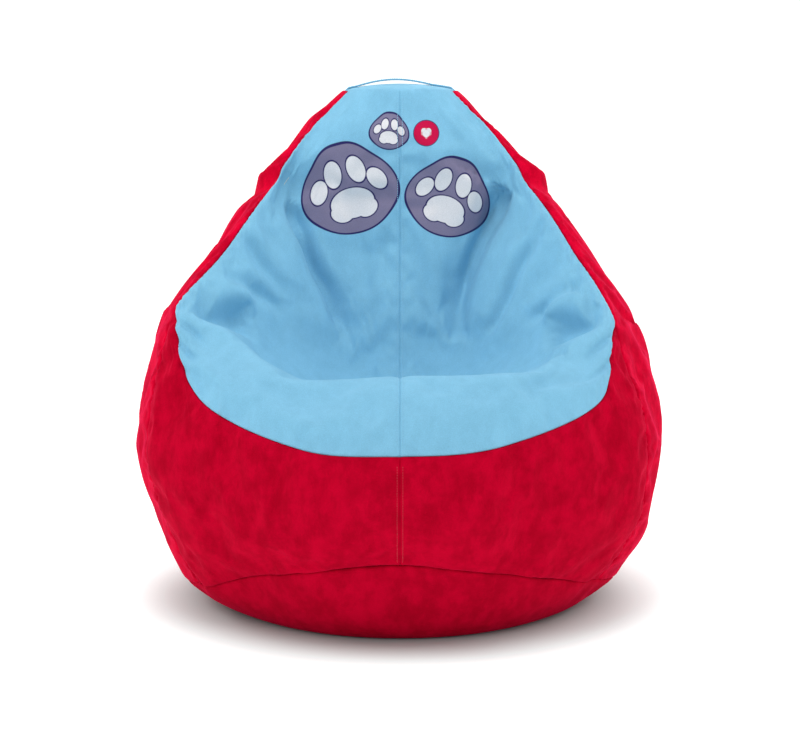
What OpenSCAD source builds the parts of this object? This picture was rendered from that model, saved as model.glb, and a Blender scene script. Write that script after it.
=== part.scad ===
// Pear-shaped bean bag chair: a sewn cover of eight gore panels, a base panel and a
// top cap, a lifting strap, a zipped rear seam, a zipped inner bag and a bead fill.
// Millimetres, +Z up, front towards -Y. Left and right are as seen from the front.
// The origin is the centre of the flat underside.

/* [Bag] */
// Width across the sides at the widest
bag_w = 912; // [820:1:1000]
// Depth from the front roll to the back at the widest
bag_d = 894; // [810:1:980]
// Height of the top cap above the floor
bag_h = 906; // [850:1:980]
// Radius of the flat patch of the base that rests on the floor
contact_r = 300; // [260:1:310]

/* [Cover] */
// Thickness of the cover fabric
cover_t = 2; // [1.6:0.1:2.4]
// Half of the gap left along each seam
seam_gap = 0.25; // [0.15:0.05:0.4]

/* [Handle] */
// Free length of the strap between its sewn ends
strap_span = 175; // [150:1:176]
// Width of the strap
strap_w = 30; // [20:1:36]
// Thickness of the strap
strap_t = 3; // [2:0.1:4]
// Height of the finger gap under the middle of the strap
strap_gap = 10; // [9:0.5:18]
// Length of each sewn strap end
tab_len = 14; // [10:1:15]

/* [Zips] */
// Half of the width of a closed zip, tapes included
tape_half = 9; // [8:0.5:11]
// Thickness of the zip tape
tape_t = 0.8; // [0.6:0.1:1]
// Width of one row of teeth
teeth_w = 2.5; // [2:0.1:3]
// Thickness of the rows of teeth
teeth_t = 2; // [1.6:0.1:2.2]
// Length of a slider
slider_len = 14; // [12:1:18]
// Width of a slider
slider_w = 10; // [9.6:0.2:11]
// Length of the pull tab
pull_len = 30; // [20:1:40]

/* [Inner bag] */
// Distance from the outside of the cover to the outside of the inner bag
liner_in = 9.5; // [9:0.1:12]
// Thickness of the inner bag's cloth
liner_t = 0.8; // [0.6:0.1:1]
// Gap between the inner bag's cloth and the bead fill
fill_gap = 5.2; // [4.8:0.1:7]

/* [Hidden] */

BLUE = "#8fc9e6";
RED = "#c00a30";
LINER = "#e9e7e1";
METAL = "#b9bcc0";
BEADS = "#f7f7f5";

// The shape lines were drawn on a bag of this size and are scaled to the one asked for
scale_x = bag_w / 912;
scale_y = bag_d / 894;
scale_z = bag_h / 906;

// Ends of the rows of the shape lines: base seam, U seam of the front, top seam
U_ROW = 4;
TOP_ROW = 13;
// Angle of each shape line round the bag, from the front, and of the gore seams
LINE_AT = [0, 22, 46, 72, 98, 126, 153, 180];
SIDE_SEAM = 72;
REAR_SEAM = 126;

// The back leans forward in a straight line, so that the zip can lie straight
back_lean = 0.245;
back_y0 = 445;
back_z0 = 380;
function back_y(z) = back_y0 - back_lean * (z - back_z0);
back_rows = [380, 430, 485, 545, 605, 665, 720, 778, 838, 906];

// Shape lines of the right half, from the base seam up to the top seam, [x, y, z]:
// base seam, low, widest, upper, U seam, roll front, roll crest, seat front,
// seat back, back low, back middle, neck, head, top seam
front_line = [[0, -385, 138], [0, -422, 190], [0, -442, 245], [0, -443, 295],
    [0, -430, 332], [0, -390, 405], [0, -312, 438], [0, -140, 385], [0, 10, 385],
    [0, 75, 462], [0, 115, 570], [0, 135, 685], [0, 132, 800], [0, 150, 906]];
fold_line = [[135, -362, 130], [152, -395, 185], [162, -412, 245], [165, -408, 300],
    [165, -396, 340], [155, -358, 408], [148, -288, 438], [130, -125, 390],
    [108, 20, 400], [100, 92, 475], [120, 134, 580], [160, 158, 702],
    [112, 140, 812], [52, 156, 906]];
wing_line = [[252, -280, 98], [288, -300, 165], [312, -310, 240], [328, -298, 320],
    [338, -264, 398], [328, -232, 450], [306, -180, 484], [278, -112, 480],
    [256, -45, 496], [232, 12, 548], [208, 72, 628], [196, 132, 722],
    [148, 156, 820], [82, 176, 906]];
side_seam_line = [[350, -155, 54], [402, -178, 160], [428, -190, 280],
    [420, -172, 400], [384, -128, 512], [374, -112, 534], [362, -96, 552],
    [348, -76, 570], [328, -48, 594], [302, -12, 626], [264, 44, 676],
    [216, 122, 748], [162, 170, 828], [97, 203, 906]];
side_line = [[388, 45, 54], [428, 45, 150], [451, 45, 270], [449, 50, 370],
    [434, 55, 445], [424, 58, 475], [412, 63, 505], [396, 70, 535], [374, 84, 568],
    [346, 104, 608], [304, 136, 662], [248, 180, 744], [180, 216, 826],
    [106, 242, 906]];
rear_seam_line = [[306, 242, 60], [352, 268, 150], [378, 288, 255], [377, 300, 340],
    [370, 304, 402], [360, 304, 450], [346, 303, 494], [327, 302, 540],
    [304, 300, 586], [276, 298, 632], [238, 294, 686], [190, 288, 753],
    [140, 282, 829], [88, 279, 906]];
back_gore_line = [[165, 338, 90], [196, 375, 165], [212, 394, 255], [213, 401, 325],
    [211, 400, 380], [206, 393, 432], [199, 385, 486], [189, 375, 542],
    [177, 365, 598], [161, 354, 654], [140, 342, 710], [113, 330, 770],
    [82, 319, 837], [50, 308, 906]];
back_line = concat([[0, 372, 110], [0, 424, 180], [0, 446, 262], [0, 450, 328]],
    [for (z = back_rows) [0, back_y(z), z]]);
LINES = [front_line, fold_line, wing_line, side_seam_line, side_line,
    rear_seam_line, back_gore_line, back_line];

// Centre of the top cap
cap_centre = [0, 235 * scale_y, bag_h];
// How round the base is between its flat patch and its seam, 0 sharp to 1 bevelled
base_round = 0.5;

// Grid of the sewn surface: cells of each gore, rows each way
FRONT_CELLS = 10;
SIDE_CELLS = 7;
REAR_CELLS = 7;
ROW_STEP = 0.5;
front_us = [for (i = [0:FRONT_CELLS]) SIDE_SEAM * i / FRONT_CELLS];
side_us = [for (i = [0:SIDE_CELLS]) SIDE_SEAM + (REAR_SEAM - SIDE_SEAM) * i / SIDE_CELLS];
rear_us = [for (i = [0:REAR_CELLS]) REAR_SEAM + (180 - REAR_SEAM) * i / REAR_CELLS];
half_us = concat(front_us, [for (i = [1:SIDE_CELLS]) side_us[i]],
    [for (i = [1:REAR_CELLS]) rear_us[i]]);
ring_us = concat([for (i = [len(half_us) - 1:-1:1]) -half_us[i]],
    [for (i = [0:len(half_us) - 2]) half_us[i]]);
function rows(from, to) = [for (t = [from:ROW_STEP:to]) t];

// Smooth curve from b to c with end slopes tb and tc, at the fraction q of the way
function hermite(b, c, tb, tc, h, q) =
    (2 * q ^ 3 - 3 * q ^ 2 + 1) * b + (q ^ 3 - 2 * q ^ 2 + q) * h * tb
    + (3 * q ^ 2 - 2 * q ^ 3) * c + (q ^ 3 - q ^ 2) * h * tc;

// Point of one shape line at row t
function line_slope(line, k) =
    (line[min(k + 1, TOP_ROW)] - line[max(k - 1, 0)]) / (min(k + 1, TOP_ROW) - max(k - 1, 0));
function on_line(line, t) =
    let (k = min(max(floor(t), 0), TOP_ROW - 1))
    hermite(line[k], line[k + 1], line_slope(line, k), line_slope(line, k + 1), 1, t - k);

// Lines beyond the front and the back are mirror images of the ones before them
function flip(p) = [-p[0], p[1], p[2]];
LAST = len(LINE_AT) - 1;
function line_angle(i) = i < 0 ? -LINE_AT[-i] : i > LAST ? 360 - LINE_AT[2 * LAST - i]
    : LINE_AT[i];
function line_point(i, t) = i < 0 ? flip(on_line(LINES[-i], t))
    : i > LAST ? flip(on_line(LINES[2 * LAST - i], t)) : on_line(LINES[i], t);
function across(i, t) = (line_point(i + 1, t) - line_point(i - 1, t))
    / (line_angle(i + 1) - line_angle(i - 1));
function line_before(u) = min([for (i = [0:LAST - 1]) if (u <= LINE_AT[i + 1]) i]);
function body_point(u, t) =
    let (i = line_before(u), h = LINE_AT[i + 1] - LINE_AT[i])
    hermite(line_point(i, t), line_point(i + 1, t), across(i, t), across(i + 1, t), h,
        (u - LINE_AT[i]) / h);

// The base below the base seam: a curve in to the flat patch, then flat to the centre
function base_point(u, t) =
    let (seam = body_point(u, 0), s = min(-t, 1), r = norm([seam[0], seam[1]]),
        patch = contact_r / scale_x,
        mid = patch + base_round * (r - patch),
        reach = (1 - s) ^ 2 * r + 2 * s * (1 - s) * mid + s ^ 2 * patch,
        shrink = t < -1 ? t + 2 : 1)
    [seam[0] / r * reach * shrink, seam[1] / r * reach * shrink, seam[2] * (1 - s) ^ 2];

// Whole surface of the bag: u in degrees round from the front, t is the row,
// -2 at the base's centre, -1 at the flat patch's edge, 0 at the base seam, 13 at the
// top seam and 14 at the cap's centre
function plain_point(u, t) = t < 0 ? base_point(u, t)
    : t > TOP_ROW ? body_point(u, TOP_ROW) * (TOP_ROW + 1 - t)
        + [0, cap_centre[1] / scale_y, cap_centre[2] / scale_z] * (t - TOP_ROW)
    : body_point(u, t);
function bag_point(u, t) =
    let (p = u < 0 ? flip(plain_point(-u, t)) : plain_point(u, t))
    [p[0] * scale_x, p[1] * scale_y, p[2] * scale_z];
function unit(v) = v / norm(v);
// Step for measuring the surface's direction
STEP_U = 0.5;
STEP_T = 0.02;
function outward(u, t) = t <= -1 ? [0, 0, -1] : t >= TOP_ROW + 0.5 ? [0, 0, 1]
    : let (v = abs(u), a = v > 180 - STEP_U ? flip(bag_point(360 - v - STEP_U, t))
            : bag_point(v + STEP_U, t),
        b = bag_point(v - STEP_U, t), c = bag_point(v, min(t + STEP_T, TOP_ROW + 1)),
        d = bag_point(v, t - STEP_T), n = unit(cross(a - b, c - d)))
    u < 0 ? flip(n) : n;
function inset_point(u, t, depth) = bag_point(u, t) - depth * outward(u, t);
// Rings of points round the bag at a depth below its surface
function bag_rings(ts, depth) = [for (t = ts) [for (u = ring_us) inset_point(u, t, depth)]];

// Faces of a closed slab between an outer and an inner grid of rows x cols points
function grid_faces(nr, nc) =
    let (n = nr * nc, at = function(r, c) r * nc + c)
    concat(
        [for (r = [0:nr - 2], c = [0:nc - 2]) each
            [[at(r, c), at(r + 1, c), at(r + 1, c + 1)], [at(r, c), at(r + 1, c + 1), at(r, c + 1)]]],
        [for (r = [0:nr - 2], c = [0:nc - 2]) each
            [[n + at(r, c), n + at(r + 1, c + 1), n + at(r + 1, c)],
             [n + at(r, c), n + at(r, c + 1), n + at(r + 1, c + 1)]]],
        [for (r = [0:nr - 2]) each
            [[at(r, 0), n + at(r, 0), n + at(r + 1, 0)], [at(r, 0), n + at(r + 1, 0), at(r + 1, 0)],
             [at(r, nc - 1), n + at(r + 1, nc - 1), n + at(r, nc - 1)],
             [at(r, nc - 1), at(r + 1, nc - 1), n + at(r + 1, nc - 1)]]],
        [for (c = [0:nc - 2]) each
            [[at(0, c), n + at(0, c + 1), n + at(0, c)], [at(0, c), at(0, c + 1), n + at(0, c + 1)],
             [at(nr - 1, c), n + at(nr - 1, c), n + at(nr - 1, c + 1)],
             [at(nr - 1, c), n + at(nr - 1, c + 1), at(nr - 1, c + 1)]]]);

// Pulls the outermost points of a grid in by the seam gap
function pulled(p, q) = p + seam_gap * unit(q - p);
function trim_row(row) = let (n = len(row))
    [for (i = [0:n - 1]) i == 0 ? pulled(row[0], row[1])
        : i == n - 1 ? pulled(row[n - 1], row[n - 2]) : row[i]];
function trim_grid(grid) = let (n = len(grid), g = [for (row = grid) trim_row(row)])
    [for (r = [0:n - 1]) [for (c = [0:len(g[0]) - 1])
        r == 0 ? pulled(g[0][c], g[1][c])
        : r == n - 1 ? pulled(g[n - 1][c], g[n - 2][c]) : g[r][c]]];

module slab(outer, inner) {
    polyhedron([for (row = outer) each row, for (row = inner) each row],
        grid_faces(len(outer), len(outer[0])), convexity = 6);
}

// One sewn panel of the cover over the angles us and the rows ts
module panel(us, ts) {
    slab(trim_grid([for (t = ts) [for (u = us) bag_point(u, t)]]),
        trim_grid([for (t = ts) [for (u = us) inset_point(u, t, cover_t)]]));
}

// Closed rings of points, bottom to top, with a point at each end
module closed_bag(rings, low, high) {
    n = len(rings[0]);
    m = len(rings);
    polyhedron([low, for (ring = rings) each ring, high], concat(
        [for (i = [0:n - 1]) [0, 1 + i, 1 + (i + 1) % n]],
        [for (r = [0:m - 2], i = [0:n - 1]) each
            [[1 + r * n + i, 1 + (r + 1) * n + i, 1 + (r + 1) * n + (i + 1) % n],
             [1 + r * n + i, 1 + (r + 1) * n + (i + 1) % n, 1 + r * n + (i + 1) % n]]],
        [for (i = [0:n - 1]) [1 + (m - 1) * n + i, 1 + m * n, 1 + (m - 1) * n + (i + 1) % n]]),
        convexity = 6);
}

// ---- Cover ----

module front_right_top_panel() {
    color(BLUE) panel(front_us, rows(U_ROW, TOP_ROW));
}

module front_left_top_panel() {
    mirror([1, 0, 0]) front_right_top_panel();
}

module front_right_lower_panel() {
    color(RED) panel(front_us, rows(0, U_ROW));
}

module front_left_lower_panel() {
    mirror([1, 0, 0]) front_right_lower_panel();
}

module right_side_panel() {
    color(RED) panel(side_us, rows(0, TOP_ROW));
}

module left_side_panel() {
    mirror([1, 0, 0]) right_side_panel();
}

// Rows of the straight back between which the zip is set into the rear seam
ZIP_FROM = 5;
ZIP_TO = 12;
zip_slot = tape_half + 0.3;
function rear_edge(t) = t >= ZIP_FROM && t <= ZIP_TO ? zip_slot : seam_gap;
function rear_grid(ts, depth) = [for (t = ts) [for (u = rear_us)
    inset_point(u, t, depth) + (u == 180 ? [rear_edge(t), 0, 0] : [0, 0, 0])]];

module back_right_panel() {
    ts = rows(0, TOP_ROW);
    color(RED) slab(trim_grid(rear_grid(ts, 0)), trim_grid(rear_grid(ts, cover_t)));
}

module back_left_panel() {
    mirror([1, 0, 0]) back_right_panel();
}

function flat_ring(ring, k) = [for (p = ring) [p[0] * k, p[1] * k, p[2]]];
function short_of_seam(rings) = let (m = len(rings)) [for (r = [0:m - 1])
    r < m - 1 ? rings[r] : [for (i = [0:len(rings[r]) - 1]) pulled(rings[r][i], rings[r - 1][i])]];

// A round base at a depth below the bag's surface: an exact flat disc, and a skirt that
// curves up to the base seam and stops short of it by the seam gap
module base_dish(depth, thick) {
    flat_in = 0.97;
    ts = rows(-1, 0);
    outer = bag_rings(ts, depth);
    inner = bag_rings(ts, depth + thick);
    disc_r = contact_r * (1 + flat_in) / 2;
    ring_band(concat([flat_ring(outer[0], flat_in)], short_of_seam(outer)),
        concat([flat_ring(inner[0], flat_in)], short_of_seam(inner)));
    translate([0, 0, depth]) cylinder(r = disc_r, h = thick, $fn = 96);
}

module base_panel() {
    color(RED) base_dish(0, cover_t);
}

// A closed band between matching outer and inner rings
module ring_band(outer, inner) {
    n = len(outer[0]);
    m = len(outer);
    top_out = (m - 1) * n;
    k = m * n;
    polyhedron([for (ring = outer) each ring, for (ring = inner) each ring], concat(
        [for (r = [0:m - 2], i = [0:n - 1]) let (j = (i + 1) % n) each
            [[r * n + i, (r + 1) * n + i, (r + 1) * n + j], [r * n + i, (r + 1) * n + j, r * n + j],
             [k + r * n + i, k + (r + 1) * n + j, k + (r + 1) * n + i],
             [k + r * n + i, k + r * n + j, k + (r + 1) * n + j]]],
        [for (i = [0:n - 1]) let (j = (i + 1) % n) each
            [[i, j, k + j], [i, k + j, k + i],
             [top_out + i, k + top_out + j, top_out + j],
             [top_out + i, k + top_out + i, k + top_out + j]]]), convexity = 6);
}

// Round cap over the top opening, a flat sewn disc
module top_cap() {
    rim = [for (u = ring_us) bag_point(u, TOP_ROW)];
    inset = 0.97;
    c = cap_centre;
    color(BLUE) translate([0, 0, bag_h - cover_t]) linear_extrude(cover_t)
        polygon([for (p = rim) [c[0] + (p[0] - c[0]) * inset, c[1] + (p[1] - c[1]) * inset]]);
}

// ---- Handle ----

// The strap arches over the cap from one sewn end to the other
strap_clear = 0.3;
strap_foot = bag_h + strap_clear;
strap_r = ((strap_span / 2) ^ 2 + strap_gap ^ 2) / (2 * strap_gap);
strap_half_angle = asin(strap_span / 2 / strap_r);
strap_steps = 24;
function strap_arc(r) = [for (i = [0:strap_steps])
    let (a = strap_half_angle * (2 * i / strap_steps - 1))
    [r * sin(a), strap_foot + strap_gap - strap_r + r * cos(a)]];

module handle_strap() {
    low = strap_arc(strap_r);
    high = strap_arc(strap_r + strap_t);
    color(BLUE) translate([0, cap_centre[1] + strap_w / 2, 0]) rotate([90, 0, 0])
        linear_extrude(strap_w)
            polygon(concat(low, [for (i = [strap_steps:-1:0]) high[i]]));
}

module handle_tab() {
    tab_gap = 1.2;
    color(BLUE) translate([strap_span / 2 + tab_gap, cap_centre[1] - strap_w / 2, strap_foot])
        cube([tab_len, strap_w, strap_t]);
}

module handle_tab_right() {
    handle_tab();
}

module handle_tab_left() {
    mirror([1, 0, 0]) handle_tab();
}

// ---- Zips ----

// A zip lies in its own frame: x across, y out of the bag, z up along the zip.
// The frame starts on the straight back at the zip's lower end.
zip_tilt = atan(back_lean * scale_y / scale_z);
zip_low = [0, back_y(back_rows[1]) * scale_y, back_rows[1] * scale_z];
zip_high = [0, back_y(back_rows[8]) * scale_y, back_rows[8] * scale_z];
zip_len = norm(zip_high - zip_low);
// Room at each end of the slot, and from the end of a tape to its teeth
zip_end = 2;
teeth_end = 6;
// Half of the gap between the two rows, where the slider's post runs
row_gap = 0.7;
stop_len = 4;
clearance = 0.3;
// Middle of the zip's thickness below the surface that it is set in
cover_zip_y = -cover_t / 2;
liner_zip_y = -liner_in - liner_t / 2;
// The inner bag's zip is shorter: it starts this far up the cover's zip
liner_zip_start = 60;
liner_zip_end = 360;

module in_zip_frame(y) {
    translate(zip_low) rotate([zip_tilt, 0, 0]) translate([0, y, 0]) children();
}

module tape(from, to) {
    translate([row_gap + teeth_w + 0.1, -tape_t / 2, from])
        cube([tape_half - row_gap - teeth_w - 0.1, tape_t, to - from]);
}

module teeth(from, to) {
    translate([row_gap, -teeth_t / 2, from + teeth_end])
        cube([teeth_w, teeth_t, to - from - 2 * teeth_end]);
}

// A small clamp across both rows
module stop(from) {
    clamp_w = 2 * (row_gap + teeth_w);
    translate([-clamp_w / 2, -teeth_t / 2 - 0.2, from])
        cube([clamp_w, teeth_t + 0.4, stop_len]);
}

plate_t = 0.9;
plate_y = teeth_t / 2 + clearance;
flange_in = row_gap + teeth_w + 0.4;
slot_y = tape_t / 2 + clearance + 0.1;
post_half = row_gap - clearance;

// Two plates with turned-in edges, joined by a post that runs between the rows
module slider_body() {
    for (side = [1, -1]) {
        translate([-slider_w / 2, side > 0 ? plate_y : -plate_y - plate_t, -slider_len / 2])
            cube([slider_w, plate_t, slider_len]);
        for (edge = [1, -1])
            translate([edge > 0 ? flange_in : -slider_w / 2,
                side > 0 ? slot_y : -plate_y - plate_t / 2, -slider_len / 2])
                cube([slider_w / 2 - flange_in, plate_y + plate_t / 2 - slot_y, slider_len]);
    }
    translate([-post_half, -plate_y - plate_t / 2, slider_len / 2 - 4])
        cube([2 * post_half, 2 * plate_y + plate_t, 3]);
}

bar_r = 0.8;
bar_y = plate_y + plate_t + 2.6;
arm_in = 2.7;
arm_w = 1.1;

// Two arms and a bar that hold the pull tab
module pull_bridge() {
    arm_z = 3;
    for (side = [1, -1])
        translate([side > 0 ? arm_in : -arm_in - arm_w, plate_y + plate_t / 2, -arm_z / 2])
            cube([arm_w, bar_y + bar_r + 0.4 - plate_y - plate_t / 2, arm_z]);
    translate([-arm_in - arm_w / 2, bar_y, 0]) rotate([0, 90, 0])
        cylinder(r = bar_r, h = 2 * arm_in + arm_w, $fn = 32);
}

pull_t = 1.6;
pull_w = 8;
eye_r = 2.1;

// Flat tab, hung by an eye from the bridge's bar, with a hole to grip it by
module pull_tab() {
    neck_w = 2 * (arm_in - 0.4);
    neck_len = 7;
    difference() {
        union() {
            translate([-neck_w / 2, 0, 0]) rotate([0, 90, 0])
                cylinder(r = eye_r, h = neck_w, $fn = 48);
            translate([-neck_w / 2, -pull_t / 2, -neck_len]) cube([neck_w, pull_t, neck_len]);
            translate([0, pull_t / 2, -neck_len]) rotate([90, 0, 0]) linear_extrude(pull_t) {
                translate([-pull_w / 2, pull_w / 2 - pull_len + neck_len])
                    square([pull_w, pull_len - neck_len - pull_w / 2]);
                translate([0, pull_w / 2 - pull_len + neck_len]) circle(d = pull_w, $fn = 48);
            }
        }
        translate([-neck_w, 0, 0]) rotate([0, 90, 0])
            cylinder(r = bar_r + clearance, h = 2 * neck_w, $fn = 48);
        translate([0, pull_t, pull_w / 2 - pull_len]) rotate([90, 0, 0])
            cylinder(d = pull_w / 2, h = 2 * pull_t, $fn = 48);
    }
}

// The cover's zip is closed, with its slider up against the top stop
slider_top = zip_len - zip_end - teeth_end - stop_len - slider_len / 2 - 1;

module zip_tape_right() {
    color(RED) in_zip_frame(cover_zip_y) tape(zip_end, zip_len - zip_end);
}

module zip_tape_left() {
    mirror([1, 0, 0]) zip_tape_right();
}

module zip_teeth_right() {
    color(RED) in_zip_frame(cover_zip_y)
        teeth(zip_end + stop_len, zip_len - zip_end - stop_len);
}

module zip_teeth_left() {
    mirror([1, 0, 0]) zip_teeth_right();
}

module zip_top_stop() {
    color(METAL) in_zip_frame(cover_zip_y) stop(zip_len - zip_end - teeth_end - stop_len + 0.1);
}

module zip_bottom_stop() {
    color(METAL) in_zip_frame(cover_zip_y) stop(zip_end + teeth_end - 0.1);
}

module zip_slider() {
    color(METAL) in_zip_frame(cover_zip_y) translate([0, 0, slider_top]) {
        slider_body();
        pull_bridge();
    }
}

module zip_pull() {
    color(METAL) in_zip_frame(cover_zip_y) translate([0, bar_y, slider_top]) pull_tab();
}

// ---- Inner bag ----

liner_slot = tape_half + 0.3;
// Rows between which the inner bag's zip is set in, and the row of its gathered top
LINER_ZIP_FROM = 6;
LINER_ZIP_TO = 11;
LINER_TOP = TOP_ROW + 0.9;
liner_rows = concat(rows(0, TOP_ROW + 0.5), [LINER_TOP]);
function liner_edge(t) = t >= LINER_ZIP_FROM && t <= LINER_ZIP_TO ? liner_slot : seam_gap;
function liner_grid(depth) = [for (t = liner_rows) [for (u = half_us)
    inset_point(u, t, depth) + (u == 180 ? [liner_edge(t), 0, 0] : [0, 0, 0])]];

module liner_right() {
    color(LINER) slab(trim_grid(liner_grid(liner_in)), trim_grid(liner_grid(liner_in + liner_t)));
}

module liner_left() {
    mirror([1, 0, 0]) liner_right();
}

module liner_base() {
    color(LINER) base_dish(liner_in, liner_t);
}

module liner_zip_tape_right() {
    color(LINER) in_zip_frame(liner_zip_y) tape(liner_zip_start, liner_zip_end);
}

module liner_zip_tape_left() {
    mirror([1, 0, 0]) liner_zip_tape_right();
}

module liner_zip_teeth_right() {
    color(LINER) in_zip_frame(liner_zip_y)
        teeth(liner_zip_start + stop_len, liner_zip_end - stop_len);
}

module liner_zip_teeth_left() {
    mirror([1, 0, 0]) liner_zip_teeth_right();
}

module liner_zip_top_stop() {
    color(METAL) in_zip_frame(liner_zip_y) stop(liner_zip_end - teeth_end - stop_len + 0.1);
}

module liner_zip_bottom_stop() {
    color(METAL) in_zip_frame(liner_zip_y) stop(liner_zip_start + teeth_end - 0.1);
}

// The inner bag's slider has no pull tab, so that a child can't open it
liner_slider_top = liner_zip_end - teeth_end - stop_len - slider_len / 2 - 1;
module liner_zip_slider() {
    color(METAL) in_zip_frame(liner_zip_y) translate([0, 0, liner_slider_top]) slider_body();
}

module bead_fill() {
    fill_in = liner_in + liner_t + fill_gap;
    color(BEADS) closed_bag(bag_rings(rows(-1.5, TOP_ROW + 0.5), fill_in),
        [0, 0, fill_in], cap_centre - [0, 0, fill_in]);
}

front_left_top_panel();
front_right_top_panel();
front_left_lower_panel();
front_right_lower_panel();
left_side_panel();
right_side_panel();
back_left_panel();
back_right_panel();
base_panel();
top_cap();
handle_strap();
handle_tab_left();
handle_tab_right();
zip_tape_left();
zip_tape_right();
zip_teeth_left();
zip_teeth_right();
zip_top_stop();
zip_bottom_stop();
zip_slider();
zip_pull();
liner_left();
liner_right();
liner_base();
liner_zip_tape_left();
liner_zip_tape_right();
liner_zip_teeth_left();
liner_zip_teeth_right();
liner_zip_top_stop();
liner_zip_bottom_stop();
liner_zip_slider();
bead_fill();
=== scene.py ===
"""Pear-shaped bean bag chair: a sewn velour cover over an inner bag of beads.

Metres, +Z up, front towards -Y. Left and right are as seen from the front.
"""
import math

import bmesh
import bpy
import numpy as np
from mathutils import Matrix, Vector


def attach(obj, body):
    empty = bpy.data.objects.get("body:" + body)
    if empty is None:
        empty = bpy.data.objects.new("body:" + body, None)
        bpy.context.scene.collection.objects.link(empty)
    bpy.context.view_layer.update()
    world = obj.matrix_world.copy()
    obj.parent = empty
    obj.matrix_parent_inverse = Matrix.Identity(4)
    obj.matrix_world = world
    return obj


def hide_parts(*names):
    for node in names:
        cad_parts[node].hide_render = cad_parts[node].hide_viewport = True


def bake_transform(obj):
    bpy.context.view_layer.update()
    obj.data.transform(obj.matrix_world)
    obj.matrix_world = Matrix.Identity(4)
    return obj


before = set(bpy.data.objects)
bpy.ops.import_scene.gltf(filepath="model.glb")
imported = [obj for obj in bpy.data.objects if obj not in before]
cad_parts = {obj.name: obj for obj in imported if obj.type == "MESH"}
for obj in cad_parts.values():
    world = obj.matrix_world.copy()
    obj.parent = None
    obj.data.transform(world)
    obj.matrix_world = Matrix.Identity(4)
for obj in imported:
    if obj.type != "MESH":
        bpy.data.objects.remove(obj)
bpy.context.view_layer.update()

scene = bpy.context.scene
MM = 0.001

# ---------------------------------------------------------------- camera, floor, light

CAMERA_DISTANCE = 3.3
CAMERA_ELEVATION = math.radians(8.5)
CAMERA_LENS = 83.0
LOOK_AT = Vector((0.0, 0.0, 0.407))


def make_camera():
    data = bpy.data.cameras.new("camera")
    data.lens = CAMERA_LENS
    data.sensor_width = 36.0
    data.clip_end = 60.0
    camera = bpy.data.objects.new("camera", data)
    back = Vector((0.0, -math.cos(CAMERA_ELEVATION), math.sin(CAMERA_ELEVATION)))
    camera.location = LOOK_AT + CAMERA_DISTANCE * back
    camera.rotation_mode = "QUATERNION"
    camera.rotation_quaternion = (-back).to_track_quat("-Z", "Y")
    scene.collection.objects.link(camera)
    scene.camera = camera


def area_light(name, place, size, power):
    data = bpy.data.lights.new(name, "AREA")
    data.shape = "DISK"
    data.size = size
    data.energy = power
    light = bpy.data.objects.new(name, data)
    light.location = place
    light.rotation_mode = "QUATERNION"
    light.rotation_quaternion = (Vector((0, 0, 0.4)) - Vector(place)).to_track_quat("-Z", "Y")
    scene.collection.objects.link(light)


def make_lights():
    world = bpy.data.worlds.new("studio")
    world.use_nodes = True
    sky = world.node_tree.nodes["Background"]
    sky.inputs["Color"].default_value = (1.0, 1.0, 1.0, 1.0)
    # The camera sees a white backdrop; as a light it is dimmer
    nodes, links = world.node_tree.nodes, world.node_tree.links
    rays = nodes.new("ShaderNodeLightPath").outputs["Is Camera Ray"]
    strength = nodes.new("ShaderNodeMapRange")
    strength.inputs["To Min"].default_value = 0.40
    links.new(rays, strength.inputs["Value"])
    links.new(strength.outputs["Result"], sky.inputs["Strength"])
    scene.world = world
    area_light("softbox_top", (-0.2, -1.0, 3.2), 1.5, 40.0)
    area_light("softbox_front_left", (-2.6, -3.2, 2.0), 1.6, 20.0)
    area_light("softbox_front_right", (2.9, -2.8, 1.7), 1.6, 13.0)
    area_light("softbox_left", (-2.9, 0.3, 2.4), 1.6, 30.0)
    area_light("softbox_right", (2.9, 0.3, 2.4), 1.6, 33.0)
    area_light("softbox_back", (0.4, 3.4, 2.6), 2.0, 26.0)


# ---------------------------------------------------------------- shader nodes

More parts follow.
